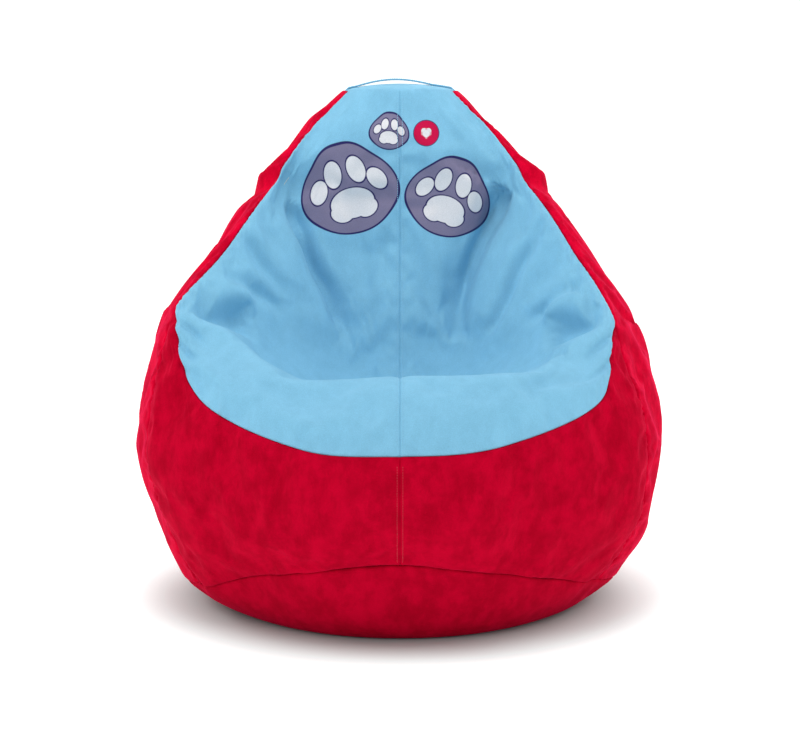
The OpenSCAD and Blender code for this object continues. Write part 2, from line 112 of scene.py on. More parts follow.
class Shader:
    """A material with short calls that add and link its nodes."""

    def __init__(self, name):
        self.material = bpy.data.materials.new(name)
        self.material.use_nodes = True
        self.tree = self.material.node_tree
        self.surface = self.tree.nodes["Principled BSDF"]
        self.place = self.tree.nodes.new("ShaderNodeTexCoord").outputs["Object"]

    def put(self, socket, value):
        if isinstance(value, bpy.types.NodeSocket):
            self.tree.links.new(value, socket)
        else:
            socket.default_value = value

    def look(self, **values):
        for name, value in values.items():
            self.put(self.surface.inputs[name.replace("_", " ")], value)

    def node(self, kind, **settings):
        made = self.tree.nodes.new("ShaderNode" + kind)
        for name, value in settings.items():
            setattr(made, name, value)
        return made

    def calc(self, operation, a, b=0.0, c=0.0):
        made = self.node("Math", operation=operation)
        for i, value in enumerate((a, b, c)):
            self.put(made.inputs[i], value)
        return made.outputs[0]

    def steps(self, value, low, high, to_low=0.0, to_high=1.0, smooth=True):
        made = self.node("MapRange", interpolation_type="SMOOTHSTEP" if smooth else "LINEAR")
        for i, given in enumerate((value, low, high, to_low, to_high)):
            self.put(made.inputs[i], given)
        return made.outputs[0]

    def mix(self, factor, a, b, blend="MIX"):
        made = self.node("Mix", data_type="RGBA", blend_type=blend)
        self.put(made.inputs[0], factor)
        self.put(made.inputs[6], colour4(a))
        self.put(made.inputs[7], colour4(b))
        return made.outputs[2]

    def stretched(self, scale, rotation=(0.0, 0.0, 0.0), location=(0.0, 0.0, 0.0), kind="POINT"):
        made = self.node("Mapping", vector_type=kind)
        self.put(made.inputs["Vector"], self.place)
        made.inputs["Location"].default_value = location
        made.inputs["Rotation"].default_value = rotation
        made.inputs["Scale"].default_value = scale
        return made.outputs[0]

    def noise(self, per_metre, detail=3.0, roughness=0.55, vector=None):
        made = self.node("TexNoise")
        self.put(made.inputs["Vector"], vector or self.place)
        made.inputs["Scale"].default_value = per_metre
        made.inputs["Detail"].default_value = detail
        made.inputs["Roughness"].default_value = roughness
        return made.outputs["Fac"]

    def bump(self, height, distance, strength=1.0, below=None):
        made = self.node("Bump")
        made.inputs["Strength"].default_value = strength
        made.inputs["Distance"].default_value = distance
        self.put(made.inputs["Height"], height)
        if below is not None:
            self.put(made.inputs["Normal"], below)
        return made.outputs[0]


def colour4(value):
    return (*value, 1.0) if isinstance(value, tuple) and len(value) == 3 else value


def shade(colour, k):
    return tuple(k * c for c in colour)


# A faint cyan tint painted into the floor's colour, to cancel the red light that the bag throws on
# it
FLOOR_TINT_AGAINST_RED_BOUNCE = (0.50, 0.585, 0.575)


def make_floor():
    half_width, front, bend_start, bend = 9.0, -9.0, 6.0, 2.5
    profile = [(front, 0.0), (bend_start, 0.0)]
    for i in range(1, 13):
        a = math.pi / 2 * i / 12
        profile.append((bend_start + bend * math.sin(a), bend * (1 - math.cos(a))))
    profile.append((bend_start + bend, 9.0))
    points = [(x, y, z) for y, z in profile for x in (-half_width, half_width)]
    faces = [(2 * i, 2 * i + 1, 2 * i + 3, 2 * i + 2) for i in range(len(profile) - 1)]
    mesh = bpy.data.meshes.new("floor")
    mesh.from_pydata(points, [], faces)
    mesh.shade_smooth()
    floor = bpy.data.objects.new("floor", mesh)
    scene.collection.objects.link(floor)
    pale = Shader("floor_painted_glow")
    length = pale.node("VectorMath", operation="LENGTH")
    pale.put(length.inputs[0], pale.place)
    # The floor glows without a lamp, a painted light that makes it white; the glow fades to none
    # close to the bag, which leaves a painted shadow round its foot
    painted_floor_glow = pale.steps(length.outputs["Value"], 0.30, 0.56, 0.0, 0.85)
    pale.look(Base_Color=(*FLOOR_TINT_AGAINST_RED_BOUNCE, 1.0), Roughness=1.0, Specular_IOR_Level=0.0,
              Emission_Color=(1.0, 1.0, 1.0, 1.0), Emission_Strength=painted_floor_glow)
    mesh.materials.append(pale.material)


# ---------------------------------------------------------------- cloth and zip materials

BLUE_LIGHT, BLUE_DARK = (0.240, 0.555, 0.775), (0.212, 0.500, 0.705)
RED_LIGHT, RED_DARK = (0.580, 0.0004, 0.024), (0.415, 0.0003, 0.015)


def velour(name, dark, light, mottle, sheen, gloss, printed=None):
    """Short-pile velour: blotches where the pile lies another way, and a fine nap."""
    m = Shader(name)
    blotch = m.noise(24.0, 4.0, 0.62)
    streak = m.noise(60.0, 3.0, 0.6, m.stretched((1.0, 1.0, 0.45)))
    nap = m.noise(820.0, 2.0, 0.6)
    tone = m.calc("ADD", m.calc("MULTIPLY", blotch, 0.62), m.calc("MULTIPLY", streak, 0.38))
    colour = m.mix(m.steps(tone, 0.5 - mottle, 0.5 + mottle), dark, light)
    if printed:
        colour = printed(m, colour)
    colour = m.mix(m.steps(nap, 0.3, 0.75, 0.16, 0.0), colour, (0.0, 0.0, 0.0))
    pile = m.bump(streak, 1.2 * MM, 0.35)
    normal = m.bump(nap, 0.35 * MM, 0.55, pile)
    m.look(Base_Color=colour, Normal=normal, Roughness=m.steps(tone, 0.3, 0.7, 0.95, 0.8),
           Specular_IOR_Level=gloss, Sheen_Weight=sheen[0], Sheen_Roughness=sheen[1],
           Sheen_Tint=(*sheen[2], 1.0))
    return m.material


PRINT_INK, PRINT_SLATE = (0.028, 0.023, 0.115), (0.215, 0.195, 0.310)
PRINT_PALE, PRINT_CRIMSON = (0.78, 0.77, 0.80), (0.60, 0.004, 0.062)
# Paw prints of the generic motif: place across and up, size, turn in degrees
PAWS = [(-0.092, 0.712, 0.92, -15.0), (0.088, 0.698, 0.80, 17.0), (-0.020, 0.822, 0.36, 5.0)]
# Pads of one paw: place, half width, half height, turn
PADS = [(0.0, -0.020, 0.044, 0.030, 0.0), (-0.026, -0.036, 0.022, 0.017, 20.0),
        (0.026, -0.036, 0.022, 0.017, -20.0), (-0.060, 0.016, 0.0165, 0.024, 28.0),
        (-0.024, 0.044, 0.0175, 0.027, 9.0), (0.024, 0.044, 0.0175, 0.027, -9.0),
        (0.060, 0.016, 0.0165, 0.024, -28.0)]
DISC = (0.048, 0.822, 0.0225)


def ellipse(m, x, z, half_w, half_h, turn):
    """Rough distance outside an ellipse that is printed from the front."""
    deep = 1000.0
    local = m.stretched((half_w, deep, half_h), (0.0, math.radians(turn), 0.0), (x, 0.0, z),
                        "TEXTURE")
    length = m.node("VectorMath", operation="LENGTH")
    m.put(length.inputs[0], local)
    return m.calc("MULTIPLY", m.calc("SUBTRACT", length.outputs["Value"], 1.0),
                  min(half_w, half_h))


def paw(m, x, z, size, turn):
    """Distance outside the pads, and outside the foot around them."""
    pads = foot = None
    a = math.radians(turn)
    for px, pz, w, h, own in PADS:
        qx, qz = px * math.cos(a) + pz * math.sin(a), pz * math.cos(a) - px * math.sin(a)
        d = ellipse(m, x + size * qx, z + size * qz, size * w, size * h, own + turn)
        pads = d if pads is None else m.calc("MINIMUM", pads, d)
        foot = d if foot is None else m.calc("SMOOTH_MIN", foot, d, 0.045 * size)
    return pads, m.calc("SUBTRACT", foot, 0.015 * size)


def paint(m, below, distance, colour, edge=0.0):
    """Lays a colour over another inside a shape grown by edge."""
    soft = 0.45 * MM
    return m.mix(m.steps(distance, edge - soft, edge + soft, 1.0, 0.0), below, colour)


def printed_motif(m, colour):
    line = 3.1 * MM
    for x, z, size, turn in PAWS:
        pads, foot = paw(m, x, z, size, turn)
        thin = line * (0.5 + 0.5 * size)
        colour = paint(m, colour, foot, PRINT_INK, thin)
        colour = paint(m, colour, foot, PRINT_SLATE)
        colour = paint(m, colour, pads, PRINT_INK, 0.7 * thin)
        colour = paint(m, colour, pads, PRINT_PALE)
    x, z, r = DISC
    disc = ellipse(m, x, z, r, r, 0.0)
    colour = paint(m, colour, disc, PRINT_INK, 1.5 * MM)
    colour = paint(m, colour, disc, PRINT_CRIMSON)
    # Heart: (a^2 + b^2 - 1)^3 - a^2 b^3 is below 0 inside, with a and b across and up
    size = 0.36 * r
    local = m.node("SeparateXYZ")
    m.put(local.inputs[0], m.stretched((size, size, size), (0, 0, 0), (x, 0.0, z - 0.04 * r),
                                       "TEXTURE"))
    a2 = m.calc("POWER", m.calc("ABSOLUTE", local.outputs["X"]), 2.0)
    b = local.outputs["Z"]
    b2 = m.calc("MULTIPLY", b, b)
    round_part = m.calc("SUBTRACT", m.calc("ADD", a2, b2), 1.0)
    cube = m.calc("MULTIPLY", m.calc("MULTIPLY", round_part, round_part), round_part)
    heart = m.calc("SUBTRACT", cube, m.calc("MULTIPLY", m.calc("MULTIPLY", a2, b2), b))
    heart = m.calc("MULTIPLY", heart, 4 * MM)
    return paint(m, colour, heart, PRINT_PALE)


def woven(name, dark, light, per_metre, roughness):
    """Plain weave: fine threads both ways, with uneven colour."""
    m = Shader(name)
    across = m.node("TexWave", wave_type="BANDS", bands_direction="X")
    up = m.node("TexWave", wave_type="BANDS", bands_direction="Z")
    for wave in (across, up):
        m.put(wave.inputs["Vector"], m.place)
        wave.inputs["Scale"].default_value = per_metre
        wave.inputs["Distortion"].default_value = 0.6
    threads = m.calc("MULTIPLY", across.outputs["Fac"], up.outputs["Fac"])
    uneven = m.noise(40.0, 4.0, 0.6)
    tone = m.calc("ADD", m.calc("MULTIPLY", threads, 0.55), m.calc("MULTIPLY", uneven, 0.45))
    m.look(Base_Color=m.mix(m.steps(tone, 0.1, 0.75), dark, light), Roughness=roughness,
           Normal=m.bump(threads, 0.25 * MM, 0.6), Specular_IOR_Level=0.25)
    return m.material


def thread(name, dark, light):
    """Twisted sewing thread."""
    m = Shader(name)
    twist = m.noise(1500.0, 2.0, 0.5, m.stretched((1.0, 1.0, 0.5), (0.5, 0.4, 0.3)))
    fade = m.noise(35.0, 2.0)
    m.look(Base_Color=m.mix(m.calc("MULTIPLY", twist, fade), light, dark), Roughness=0.55,
           Normal=m.bump(twist, 0.15 * MM, 0.6), Sheen_Weight=0.3)
    return m.material


def moulded(name, dark, light, roughness):
    """Moulded nylon of the zip's teeth."""
    m = Shader(name)
    haze = m.noise(260.0, 3.0)
    m.look(Base_Color=m.mix(haze, dark, light), Roughness=m.steps(haze, 0.3, 0.7, roughness,
                                                                  roughness + 0.14),
           Normal=m.bump(haze, 0.05 * MM, 0.4))
    return m.material


def cast_metal(name):
    """Plated zinc with fine scratches and dull, worn patches."""
    m = Shader(name)
    patch = m.noise(90.0, 4.0, 0.6)
    scratch = m.noise(600.0, 4.0, 0.7, m.stretched((1.0, 1.0, 0.06), (0.0, 0.5, 0.0)))
    m.look(Base_Color=m.mix(patch, (0.50, 0.51, 0.53), (0.70, 0.71, 0.72)), Metallic=1.0,
           Roughness=m.steps(m.calc("ADD", patch, scratch), 0.7, 1.3, 0.22, 0.46),
           Normal=m.bump(scratch, 0.03 * MM, 0.5))
    return m.material


def bead_pile(name):
    """Expanded polystyrene beads, 3 to 5 mm across."""
    m = Shader(name)
    beads = m.node("TexVoronoi", feature="F1")
    m.put(beads.inputs["Vector"], m.place)
    beads.inputs["Scale"].default_value = 240.0
    round_top = m.calc("SUBTRACT", 1.0, beads.outputs["Distance"])
    cells = m.noise(1800.0, 2.0)
    # Each bead is painted pale at its middle and grey at its rim, a painted shade between the beads
    light = m.steps(round_top, 0.35, 0.8)
    m.look(Base_Color=m.mix(light, (0.56, 0.56, 0.55), (0.88, 0.88, 0.86)), Roughness=0.6,
           Normal=m.bump(cells, 0.1 * MM, 0.3, m.bump(round_top, 2.0 * MM, 1.0)),
           Subsurface_Weight=0.15)
    return m.material


BLUE_LOOK = (BLUE_DARK, BLUE_LIGHT, 0.20, (0.16, 0.45, (0.65, 0.90, 1.0)), 0.10)
blue = velour("blue_velour", *BLUE_LOOK)
blue_printed = velour("blue_velour_printed", *BLUE_LOOK, printed_motif)
red = velour("red_velour", RED_DARK, RED_LIGHT, 0.14, (0.55, 0.35, (1.0, 0.015, 0.10)), 0.02)
# The side gores are painted paler than the front, a painted highlight for the light that falls on
# them from above
red_side_painted_lit = velour("red_velour_side_painted_highlight", shade(RED_DARK, 1.25), shade(RED_LIGHT, 1.28), 0.10,
                  (0.75, 0.35, (1.0, 0.03, 0.14)), 0.02)
blue_thread = thread("blue_thread", shade(BLUE_DARK, 0.75), shade(BLUE_LIGHT, 0.95))
red_thread = thread("red_thread", shade(RED_DARK, 0.8), shade(RED_LIGHT, 1.05))
red_tape = woven("red_zip_tape", shade(RED_DARK, 0.6), shade(RED_LIGHT, 0.85), 700.0, 0.8)
red_nylon = moulded("red_zip_nylon", shade(RED_DARK, 0.8), RED_LIGHT, 0.36)
white_cloth = woven("inner_bag_cloth", (0.60, 0.59, 0.56), (0.86, 0.85, 0.82), 420.0, 0.85)
white_tape = woven("inner_zip_tape", (0.55, 0.54, 0.52), (0.82, 0.81, 0.79), 700.0, 0.8)
white_nylon = moulded("inner_zip_nylon", (0.66, 0.65, 0.62), (0.84, 0.83, 0.81), 0.38)
metal = cast_metal("slider_zinc")
beads = bead_pile("polystyrene_beads")


# ---------------------------------------------------------------- shape of the bag

# Lines from the base seam up to the top seam, and the angle of each round the bag from
# the front. Rows: base seam, low, widest, upper, U seam, roll front, roll crest,
# seat front, seat back, back low, back middle, neck, head, top seam.
LINE_AT = np.array([0, 22, 46, 72, 98, 126, 153, 180], float)
SIDE_SEAM, REAR_SEAM = 72, 126
U_ROW, TOP_ROW = 4, 13
BACK_LEAN, BACK_Y0, BACK_Z0 = 0.245, 445, 380
BACK_ROWS = [380, 430, 485, 545, 605, 665, 720, 778, 838, 906]


def back_y(z):
    return BACK_Y0 - BACK_LEAN * (z - BACK_Z0)


FRONT = [(0, -385, 138), (0, -422, 190), (0, -442, 245), (0, -443, 295), (0, -430, 332),
         (0, -390, 405), (0, -312, 438), (0, -140, 385), (0, 10, 385), (0, 75, 462),
         (0, 115, 570), (0, 135, 685), (0, 132, 800), (0, 150, 906)]
FOLD = [(135, -362, 130), (152, -395, 185), (162, -412, 245), (165, -408, 300),
        (165, -396, 340), (155, -358, 408), (148, -288, 438), (130, -125, 390),
        (108, 20, 400), (100, 92, 475), (120, 134, 580), (160, 158, 702),
        (112, 140, 812), (52, 156, 906)]
WING = [(252, -280, 98), (288, -300, 165), (312, -310, 240), (328, -298, 320),
        (338, -264, 398), (328, -232, 450), (306, -180, 484), (278, -112, 480),
        (256, -45, 496), (232, 12, 548), (208, 72, 628), (196, 132, 722),
        (148, 156, 820), (82, 176, 906)]
SIDE_SEAM_LINE = [(350, -155, 54), (402, -178, 160), (428, -190, 280), (420, -172, 400),
                  (384, -128, 512), (374, -112, 534), (362, -96, 552), (348, -76, 570),
                  (328, -48, 594), (302, -12, 626), (264, 44, 676), (216, 122, 748),
                  (162, 170, 828), (97, 203, 906)]
SIDE = [(388, 45, 54), (428, 45, 150), (451, 45, 270), (449, 50, 370), (434, 55, 445),
        (424, 58, 475), (412, 63, 505), (396, 70, 535), (374, 84, 568), (346, 104, 608),
        (304, 136, 662), (248, 180, 744), (180, 216, 826), (106, 242, 906)]
REAR_SEAM_LINE = [(306, 242, 60), (352, 268, 150), (378, 288, 255), (377, 300, 340),
                  (370, 304, 402), (360, 304, 450), (346, 303, 494), (327, 302, 540),
                  (304, 300, 586), (276, 298, 632), (238, 294, 686), (190, 288, 753),
                  (140, 282, 829), (88, 279, 906)]
BACK_GORE = [(165, 338, 90), (196, 375, 165), (212, 394, 255), (213, 401, 325),
             (211, 400, 380), (206, 393, 432), (199, 385, 486), (189, 375, 542),
             (177, 365, 598), (161, 354, 654), (140, 342, 710), (113, 330, 770),
             (82, 319, 837), (50, 308, 906)]
BACK = [(0, 372, 110), (0, 424, 180), (0, 446, 262), (0, 450, 328)]
BACK += [(0, back_y(z), z) for z in BACK_ROWS]
LINES = MM * np.array([FRONT, FOLD, WING, SIDE_SEAM_LINE, SIDE, REAR_SEAM_LINE, BACK_GORE,
                       BACK], float)

CONTACT_R = 0.300
BASE_ROUND = 0.5
CAP_CENTRE = np.array([0.0, 0.235, 0.906])


def hermite(b, c, slope_b, slope_c, h, q):
    return ((2 * q**3 - 3 * q**2 + 1) * b + (q**3 - 2 * q**2 + q) * h * slope_b
            + (3 * q**2 - 2 * q**3) * c + (q**3 - q**2) * h * slope_c)


def spline(points, knots, where):
    """Smooth curve through points[k] at knots[k], read at each value in where."""
    n = len(knots)
    k = np.clip(np.searchsorted(knots, where, side="right") - 1, 0, n - 2)
    low, high = np.maximum(np.arange(n) - 1, 0), np.minimum(np.arange(n) + 1, n - 1)
    tail = (1,) * (points.ndim - 1)
    slopes = (points[high] - points[low]) / (knots[high] - knots[low]).reshape(-1, *tail)
    h = (knots[k + 1] - knots[k]).reshape(-1, *tail)
    q = (np.asarray(where, float) - knots[k]).reshape(-1, *tail) / h
    return hermite(points[k], points[k + 1], slopes[k], slopes[k + 1], h, q)


def body_grid(us, ts):
    """Points of the bag between its base seam and top seam, [row, column, xyz]."""
    rows = spline(LINES.transpose(1, 0, 2), np.arange(TOP_ROW + 1.0), ts)
    flipped = rows * np.array([-1.0, 1.0, 1.0])
    every = np.concatenate([flipped[:, ::-1][:, :-1], rows, flipped[:, ::-1][:, 1:]], axis=1)
    angles = np.concatenate([-LINE_AT[::-1][:-1], LINE_AT, 360 - LINE_AT[::-1][1:]])
    return spline(every.transpose(1, 0, 2), angles, us).transpose(1, 0, 2)


def base_grid(us, ts):
    """Points of the base: a curve from its seam in to the flat patch, then flat."""
    seam = body_grid(us, [0.0])[0]
    radius = np.hypot(seam[:, 0], seam[:, 1])
    middle = CONTACT_R + BASE_ROUND * (radius - CONTACT_R)
    rows = []
    for t in ts:
        s = min(-t, 1.0)
        reach = (1 - s) ** 2 * radius + 2 * s * (1 - s) * middle + s**2 * CONTACT_R
        reach *= t + 2 if t < -1 else 1
        way = reach / radius
        rows.append(np.stack([seam[:, 0] * way, seam[:, 1] * way,
                              seam[:, 2] * (1 - s) ** 2], axis=1))
    return np.array(rows)


# The head is rounded: its seam lies lower than the cap's centre
RIM_DROP, CROWN = 0.005, 0.011


def cap_grid(us, ts):
    """Points of the crowned top cap, from its seam in to its centre."""
    rim = body_grid(us, [float(TOP_ROW)])[0]
    rows = []
    for t in ts:
        s = t - TOP_ROW
        row = rim * (1 - s) + CAP_CENTRE * s
        row[:, 2] = CAP_CENTRE[2] - RIM_DROP + CROWN * (1 - (1 - s) ** 2)
        rows.append(row)
    return np.array(rows)


def bag_grid(us, ts):
    ts = np.asarray(ts, float)
    parts = []
    for grid, chosen in ((base_grid, ts[ts < 0]), (body_grid, ts[(ts >= 0) & (ts <= TOP_ROW)]),
                         (cap_grid, ts[ts > TOP_ROW])):
        if len(chosen):
            parts.append(grid(us, chosen))
        if grid is body_grid and len(chosen):
            parts[-1][..., 2] -= RIM_DROP * (np.maximum(chosen - TOP_ROW + 1, 0) ** 2)[:, None]
    return np.concatenate(parts)


def grid_normals(grid):
    """Outward directions of a grid whose columns run right and rows run up."""
    along = np.gradient(grid, axis=1)
    up = np.gradient(grid, axis=0)
    n = np.cross(along, up)
    return n / np.maximum(np.linalg.norm(n, axis=2, keepdims=True), 1e-12)


# ---------------------------------------------------------------- the sewn surface

COLUMNS = 480
ROWS_PER_LINE = 14
BASE_ROWS = 12
CAP_ROWS = 6
column_us = np.arange(COLUMNS) * 360.0 / COLUMNS - 180.0
row_ts = np.concatenate([np.linspace(-1, 0, BASE_ROWS + 1)[:-1],
                         np.linspace(0, TOP_ROW, TOP_ROW * ROWS_PER_LINE + 1),
                         np.linspace(TOP_ROW, TOP_ROW + 0.9, CAP_ROWS + 1)[1:]])


# ---------------------------------------------------------------- folds and settling

def waves(points, wavelength, seed, count=20):
    """Smooth noise of about -1 to 1, from plane waves in random directions."""
    rng = np.random.default_rng(seed)
    ways = rng.normal(size=(count, 3))
    ways /= np.linalg.norm(ways, axis=1, keepdims=True)
    pace = 2 * math.pi / wavelength * rng.uniform(0.7, 1.4, count)
    phase = rng.uniform(0, 2 * math.pi, count)
    total = np.zeros(points.shape[:-1])
    for way, k, start in zip(ways, pace, phase):
        total += np.sin(points @ way * k + start)
    return total * 1.2 / math.sqrt(count)


def ramp(value, low, high):
    q = np.clip((value - low) / (high - low), 0.0, 1.0)
    return q * q * (3 - 2 * q)


# Bulges that tell the left arm from the right: centre, reach, shift
BULGES = [((-0.37, -0.18, 0.50), 0.13, (-0.006, 0.0, 0.016)),
          ((0.36, -0.18, 0.47), 0.13, (-0.016, 0.0, -0.016)),
          ((-0.25, 0.06, 0.66), 0.10, (-0.006, -0.010, 0.004)),
          ((0.25, 0.06, 0.66), 0.10, (0.008, -0.010, 0.004)),
          ((-0.19, 0.15, 0.80), 0.09, (-0.008, -0.004, 0.0)),
          ((0.18, 0.15, 0.80), 0.09, (0.008, -0.004, 0.0)),
          ((0.12, -0.33, 0.43), 0.12, (0.0, -0.004, 0.005)),
          ((-0.14, -0.33, 0.42), 0.10, (0.0, 0.003, -0.005))]


def bulge(points):
    for centre, reach, shift in BULGES:
        far = np.linalg.norm(points - np.array(centre), axis=-1)
        points = points + np.exp(-(far / reach) ** 2)[..., None] * np.array(shift)
    return points


class Crease:
    """A fold pressed into the cloth along a line given from the front as x, z.

    depth and width are the valley's, ridge and spread the fuller cloth's beside it on
    the outer side (further from the middle), inner the same on the inner side.
    """

    def __init__(self, line, rows, depth, width, ridge, spread, inner, ends, edge=(56, 71)):
        self.line, self.rows, self.ends, self.edge = np.array(line), rows, ends, edge
        self.depth, self.width = depth * MM, width * MM
        self.ridge, self.spread, self.inner = ridge * MM, spread * MM, inner

    def press(self, points, normals, ts, us):
        allowed = ((ts >= self.rows[0]) & (ts <= self.rows[1]))[:, None] & (np.abs(us) < 84)[None]
        rows, columns = np.nonzero(allowed)
        flat = points[rows, columns]
        marks = []
        for x, z in self.line:
            off = (flat[:, 0] - x) ** 2 + (flat[:, 2] - z) ** 2
            marks.append(flat[np.argmin(off)])
        knots = np.arange(len(marks), dtype=float)
        path = spline(np.array(marks), knots, np.linspace(0, len(marks) - 1, 8 * len(marks)))
        reach = 3.5 * max(self.spread, self.width)
        near = np.all((points > path.min(0) - reach) & (points < path.max(0) + reach), axis=-1)
        low, high = self.rows
        hold = ramp(ts, low - 1.2, low) * (1 - ramp(ts, high, high + 1.0))
        near &= (hold > 0)[:, None] & (np.abs(us) < 84)[None]
        here, out = points[near], normals[near]
        gaps = here[:, None] - path[None]
        far = np.linalg.norm(gaps, axis=2)
        at = far.argmin(axis=1)
        tangent = np.gradient(path, axis=0)
        tangent /= np.linalg.norm(tangent, axis=1, keepdims=True)
        offset = gaps[np.arange(len(here)), at]
        side = np.einsum("ij,ij->i", np.cross(tangent[at], offset), out)
        # A line that runs down on the left has its outer side to the right of its travel
        outer = np.sign(side) * np.sign(self.line[0, 0]) * np.sign(
            self.line[-1, 1] - self.line[0, 1])
        distance = far[np.arange(len(here)), at] * outer
        q = at / (len(path) - 1)
        grip = ramp(q, 0.0, self.ends[0]) * (1 - ramp(q, self.ends[1], 1.0))
        peak = 1.5 * self.width + 0.5 * self.spread
        grip *= 1 - ramp(np.abs(np.broadcast_to(us, points.shape[:2])[near]), *self.edge)
        grip *= np.broadcast_to(hold[:, None], points.shape[:2])[near]
        shape = (-self.depth * np.exp(-(distance / self.width) ** 2)
                 + self.ridge * np.exp(-((distance - peak) / self.spread) ** 2)
                 + self.inner * self.ridge * np.exp(-((distance + peak) / self.spread) ** 2))
        moved = points.copy()
        moved[near] += out * (shape * grip)[:, None]
        return moved


NECK, SEAT, ARM, ROLL = (8.0, 13.0), (7.4, 13.0), (6.0, 9.6), (3.8, 6.8)
LEFT_NECK = [(-.204, .706), (-.182, .655), (-.154, .589), (-.131, .54), (-.112, .493),
             (-.088, .43)]
RIGHT_NECK = [(.190, .728), (.161, .663), (.127, .584), (.114, .54), (.106, .504),
              (.096, .447)]
LEFT_ARM = [(-.380, .552), (-.325, .530), (-.285, .510), (-.255, .487)]
RIGHT_ARM = [(.355, .530), (.317, .512), (.280, .492), (.250, .470)]
ACROSS_SEAM = (66, 82)
CREASES = [
    Crease(LEFT_NECK, NECK, 20, 22, 13, 34, 0.4, (0.12, 0.75), (46, 64)),
    Crease(LEFT_NECK, NECK, 9, 8, 5, 14, 0.0, (0.14, 0.5), (42, 58)),
    Crease(RIGHT_NECK, NECK, 20, 22, 13, 34, 0.4, (0.03, 0.9), (46, 64)),
    Crease(RIGHT_NECK, NECK, 9, 8, 5, 14, 0.0, (0.05, 0.5), (42, 58)),
    Crease([(-.222, .685), (-.18, .615), (-.156, .563), (-.129, .51), (-.106, .46)],
           SEAT, 7, 11, 6, 18, 0.5, (0.25, 0.8)),
    Crease([(.25, .655), (.219, .597), (.2, .56), (.173, .505), (.150, .465)],
           SEAT, 11, 12, 7, 20, 0.5, (0.25, 0.8)),
    Crease(LEFT_ARM, ARM, 24, 24, 15, 30, 0.4, (0.03, 0.7), (54, 72)),
    Crease(RIGHT_ARM, ARM, 24, 24, 15, 30, 0.4, (0.03, 0.7), (54, 72)),
    Crease([(-.335, .60), (-.285, .575), (-.235, .535), (-.20, .50)],
           (7.0, 10.5), 7, 13, 6, 18, 0.7, (0.3, 0.7)),
    Crease([(.345, .575), (.30, .56), (.25, .52), (.21, .485)],
           (7.0, 10.5), 8, 12, 6, 18, 0.7, (0.3, 0.7)),
    Crease([(-.30, .66), (-.262, .625), (-.225, .57), (-.195, .53)],
           (8.0, 12.0), 6, 12, 5, 16, 0.7, (0.3, 0.7)),
    Crease([(-.055, .44), (-.05, .50), (-.062, .56), (-.07, .62)],
           (7.5, 11.5), 4, 14, 3, 18, 1.0, (0.4, 0.6)),
    Crease([(.048, .44), (.058, .49), (.052, .55), (.06, .60)],
           (7.5, 11.5), 4, 14, 3, 18, 1.0, (0.4, 0.6)),
    # Short puckers beside the blue corners
    Crease([(-.385, .515), (-.345, .500), (-.31, .478)], ROLL, 6, 6, 3, 9, 0.9, (0.1, 0.5),
           ACROSS_SEAM),
    Crease([(-.390, .490), (-.352, .470), (-.325, .450)], ROLL, 5, 5, 3, 8, 0.9, (0.1, 0.5),
           ACROSS_SEAM),
    Crease([(-.392, .465), (-.365, .445), (-.335, .43)], ROLL, 4, 5, 2, 8, 0.9, (0.1, 0.5),
           ACROSS_SEAM),
    Crease([(.362, .490), (.33, .475), (.30, .455)], ROLL, 5, 6, 3, 9, 0.9, (0.1, 0.5),
           ACROSS_SEAM),
    Crease([(.366, .455), (.335, .44), (.305, .425)], ROLL, 4, 5, 2, 8, 0.9, (0.1, 0.5),
           ACROSS_SEAM),
]

# The head of the bag laps over the shoulders: a line round each side gore, in degrees
# round the bag and rows up it
COLLAR = [(66, 11.15), (80, 11.05), (96, 10.9), (112, 10.85), (128, 10.9), (142, 11.0)]


def collar(points, normals, us, ts):
    """A lap just below the head on both sides, deepest beside the front."""
    line = np.array(COLLAR)
    for sign in (-1, 1):
        u = sign * us
        at = np.interp(u, line[:, 0], line[:, 1])
        grip = ramp(u, 64, 84) * (1 - ramp(u, 100, 142))
        s = ts[:, None] - at[None]
        over = 12 * MM * np.exp(-np.maximum(s, 0) / 0.42) * ramp(s, -0.22, 0.12)
        lap = over - 6 * MM * np.exp(-((s + 0.28) / 0.20) ** 2)
        points = points + normals * (lap * grip[None])[..., None]
    return points


def still_zone(points, us, ts):
    """0 where the cloth is held flat: by the zip, the cap and the floor; 1 elsewhere."""
    back = (np.abs(us) > 150)[None] & (ts >= 0)[:, None]
    zip_hold = np.where(back, ramp(np.abs(points[..., 0]), 0.022, 0.075), 1.0)
    high = 1 - ramp(ts, TOP_ROW - 0.9, TOP_ROW - 0.1)
    low = ramp(ts, -0.75, 0.2)
    return zip_hold * (high * low)[:, None]


# The cloth is this much larger than the fill, so it wrinkles between its seams
EXTRA_CLOTH = 0.020
SETTLE_FRAMES = 16
MAX_SETTLE = 8 * MM
SEAM_US = (-REAR_SEAM, -SIDE_SEAM, 0, SIDE_SEAM, REAR_SEAM, 180)


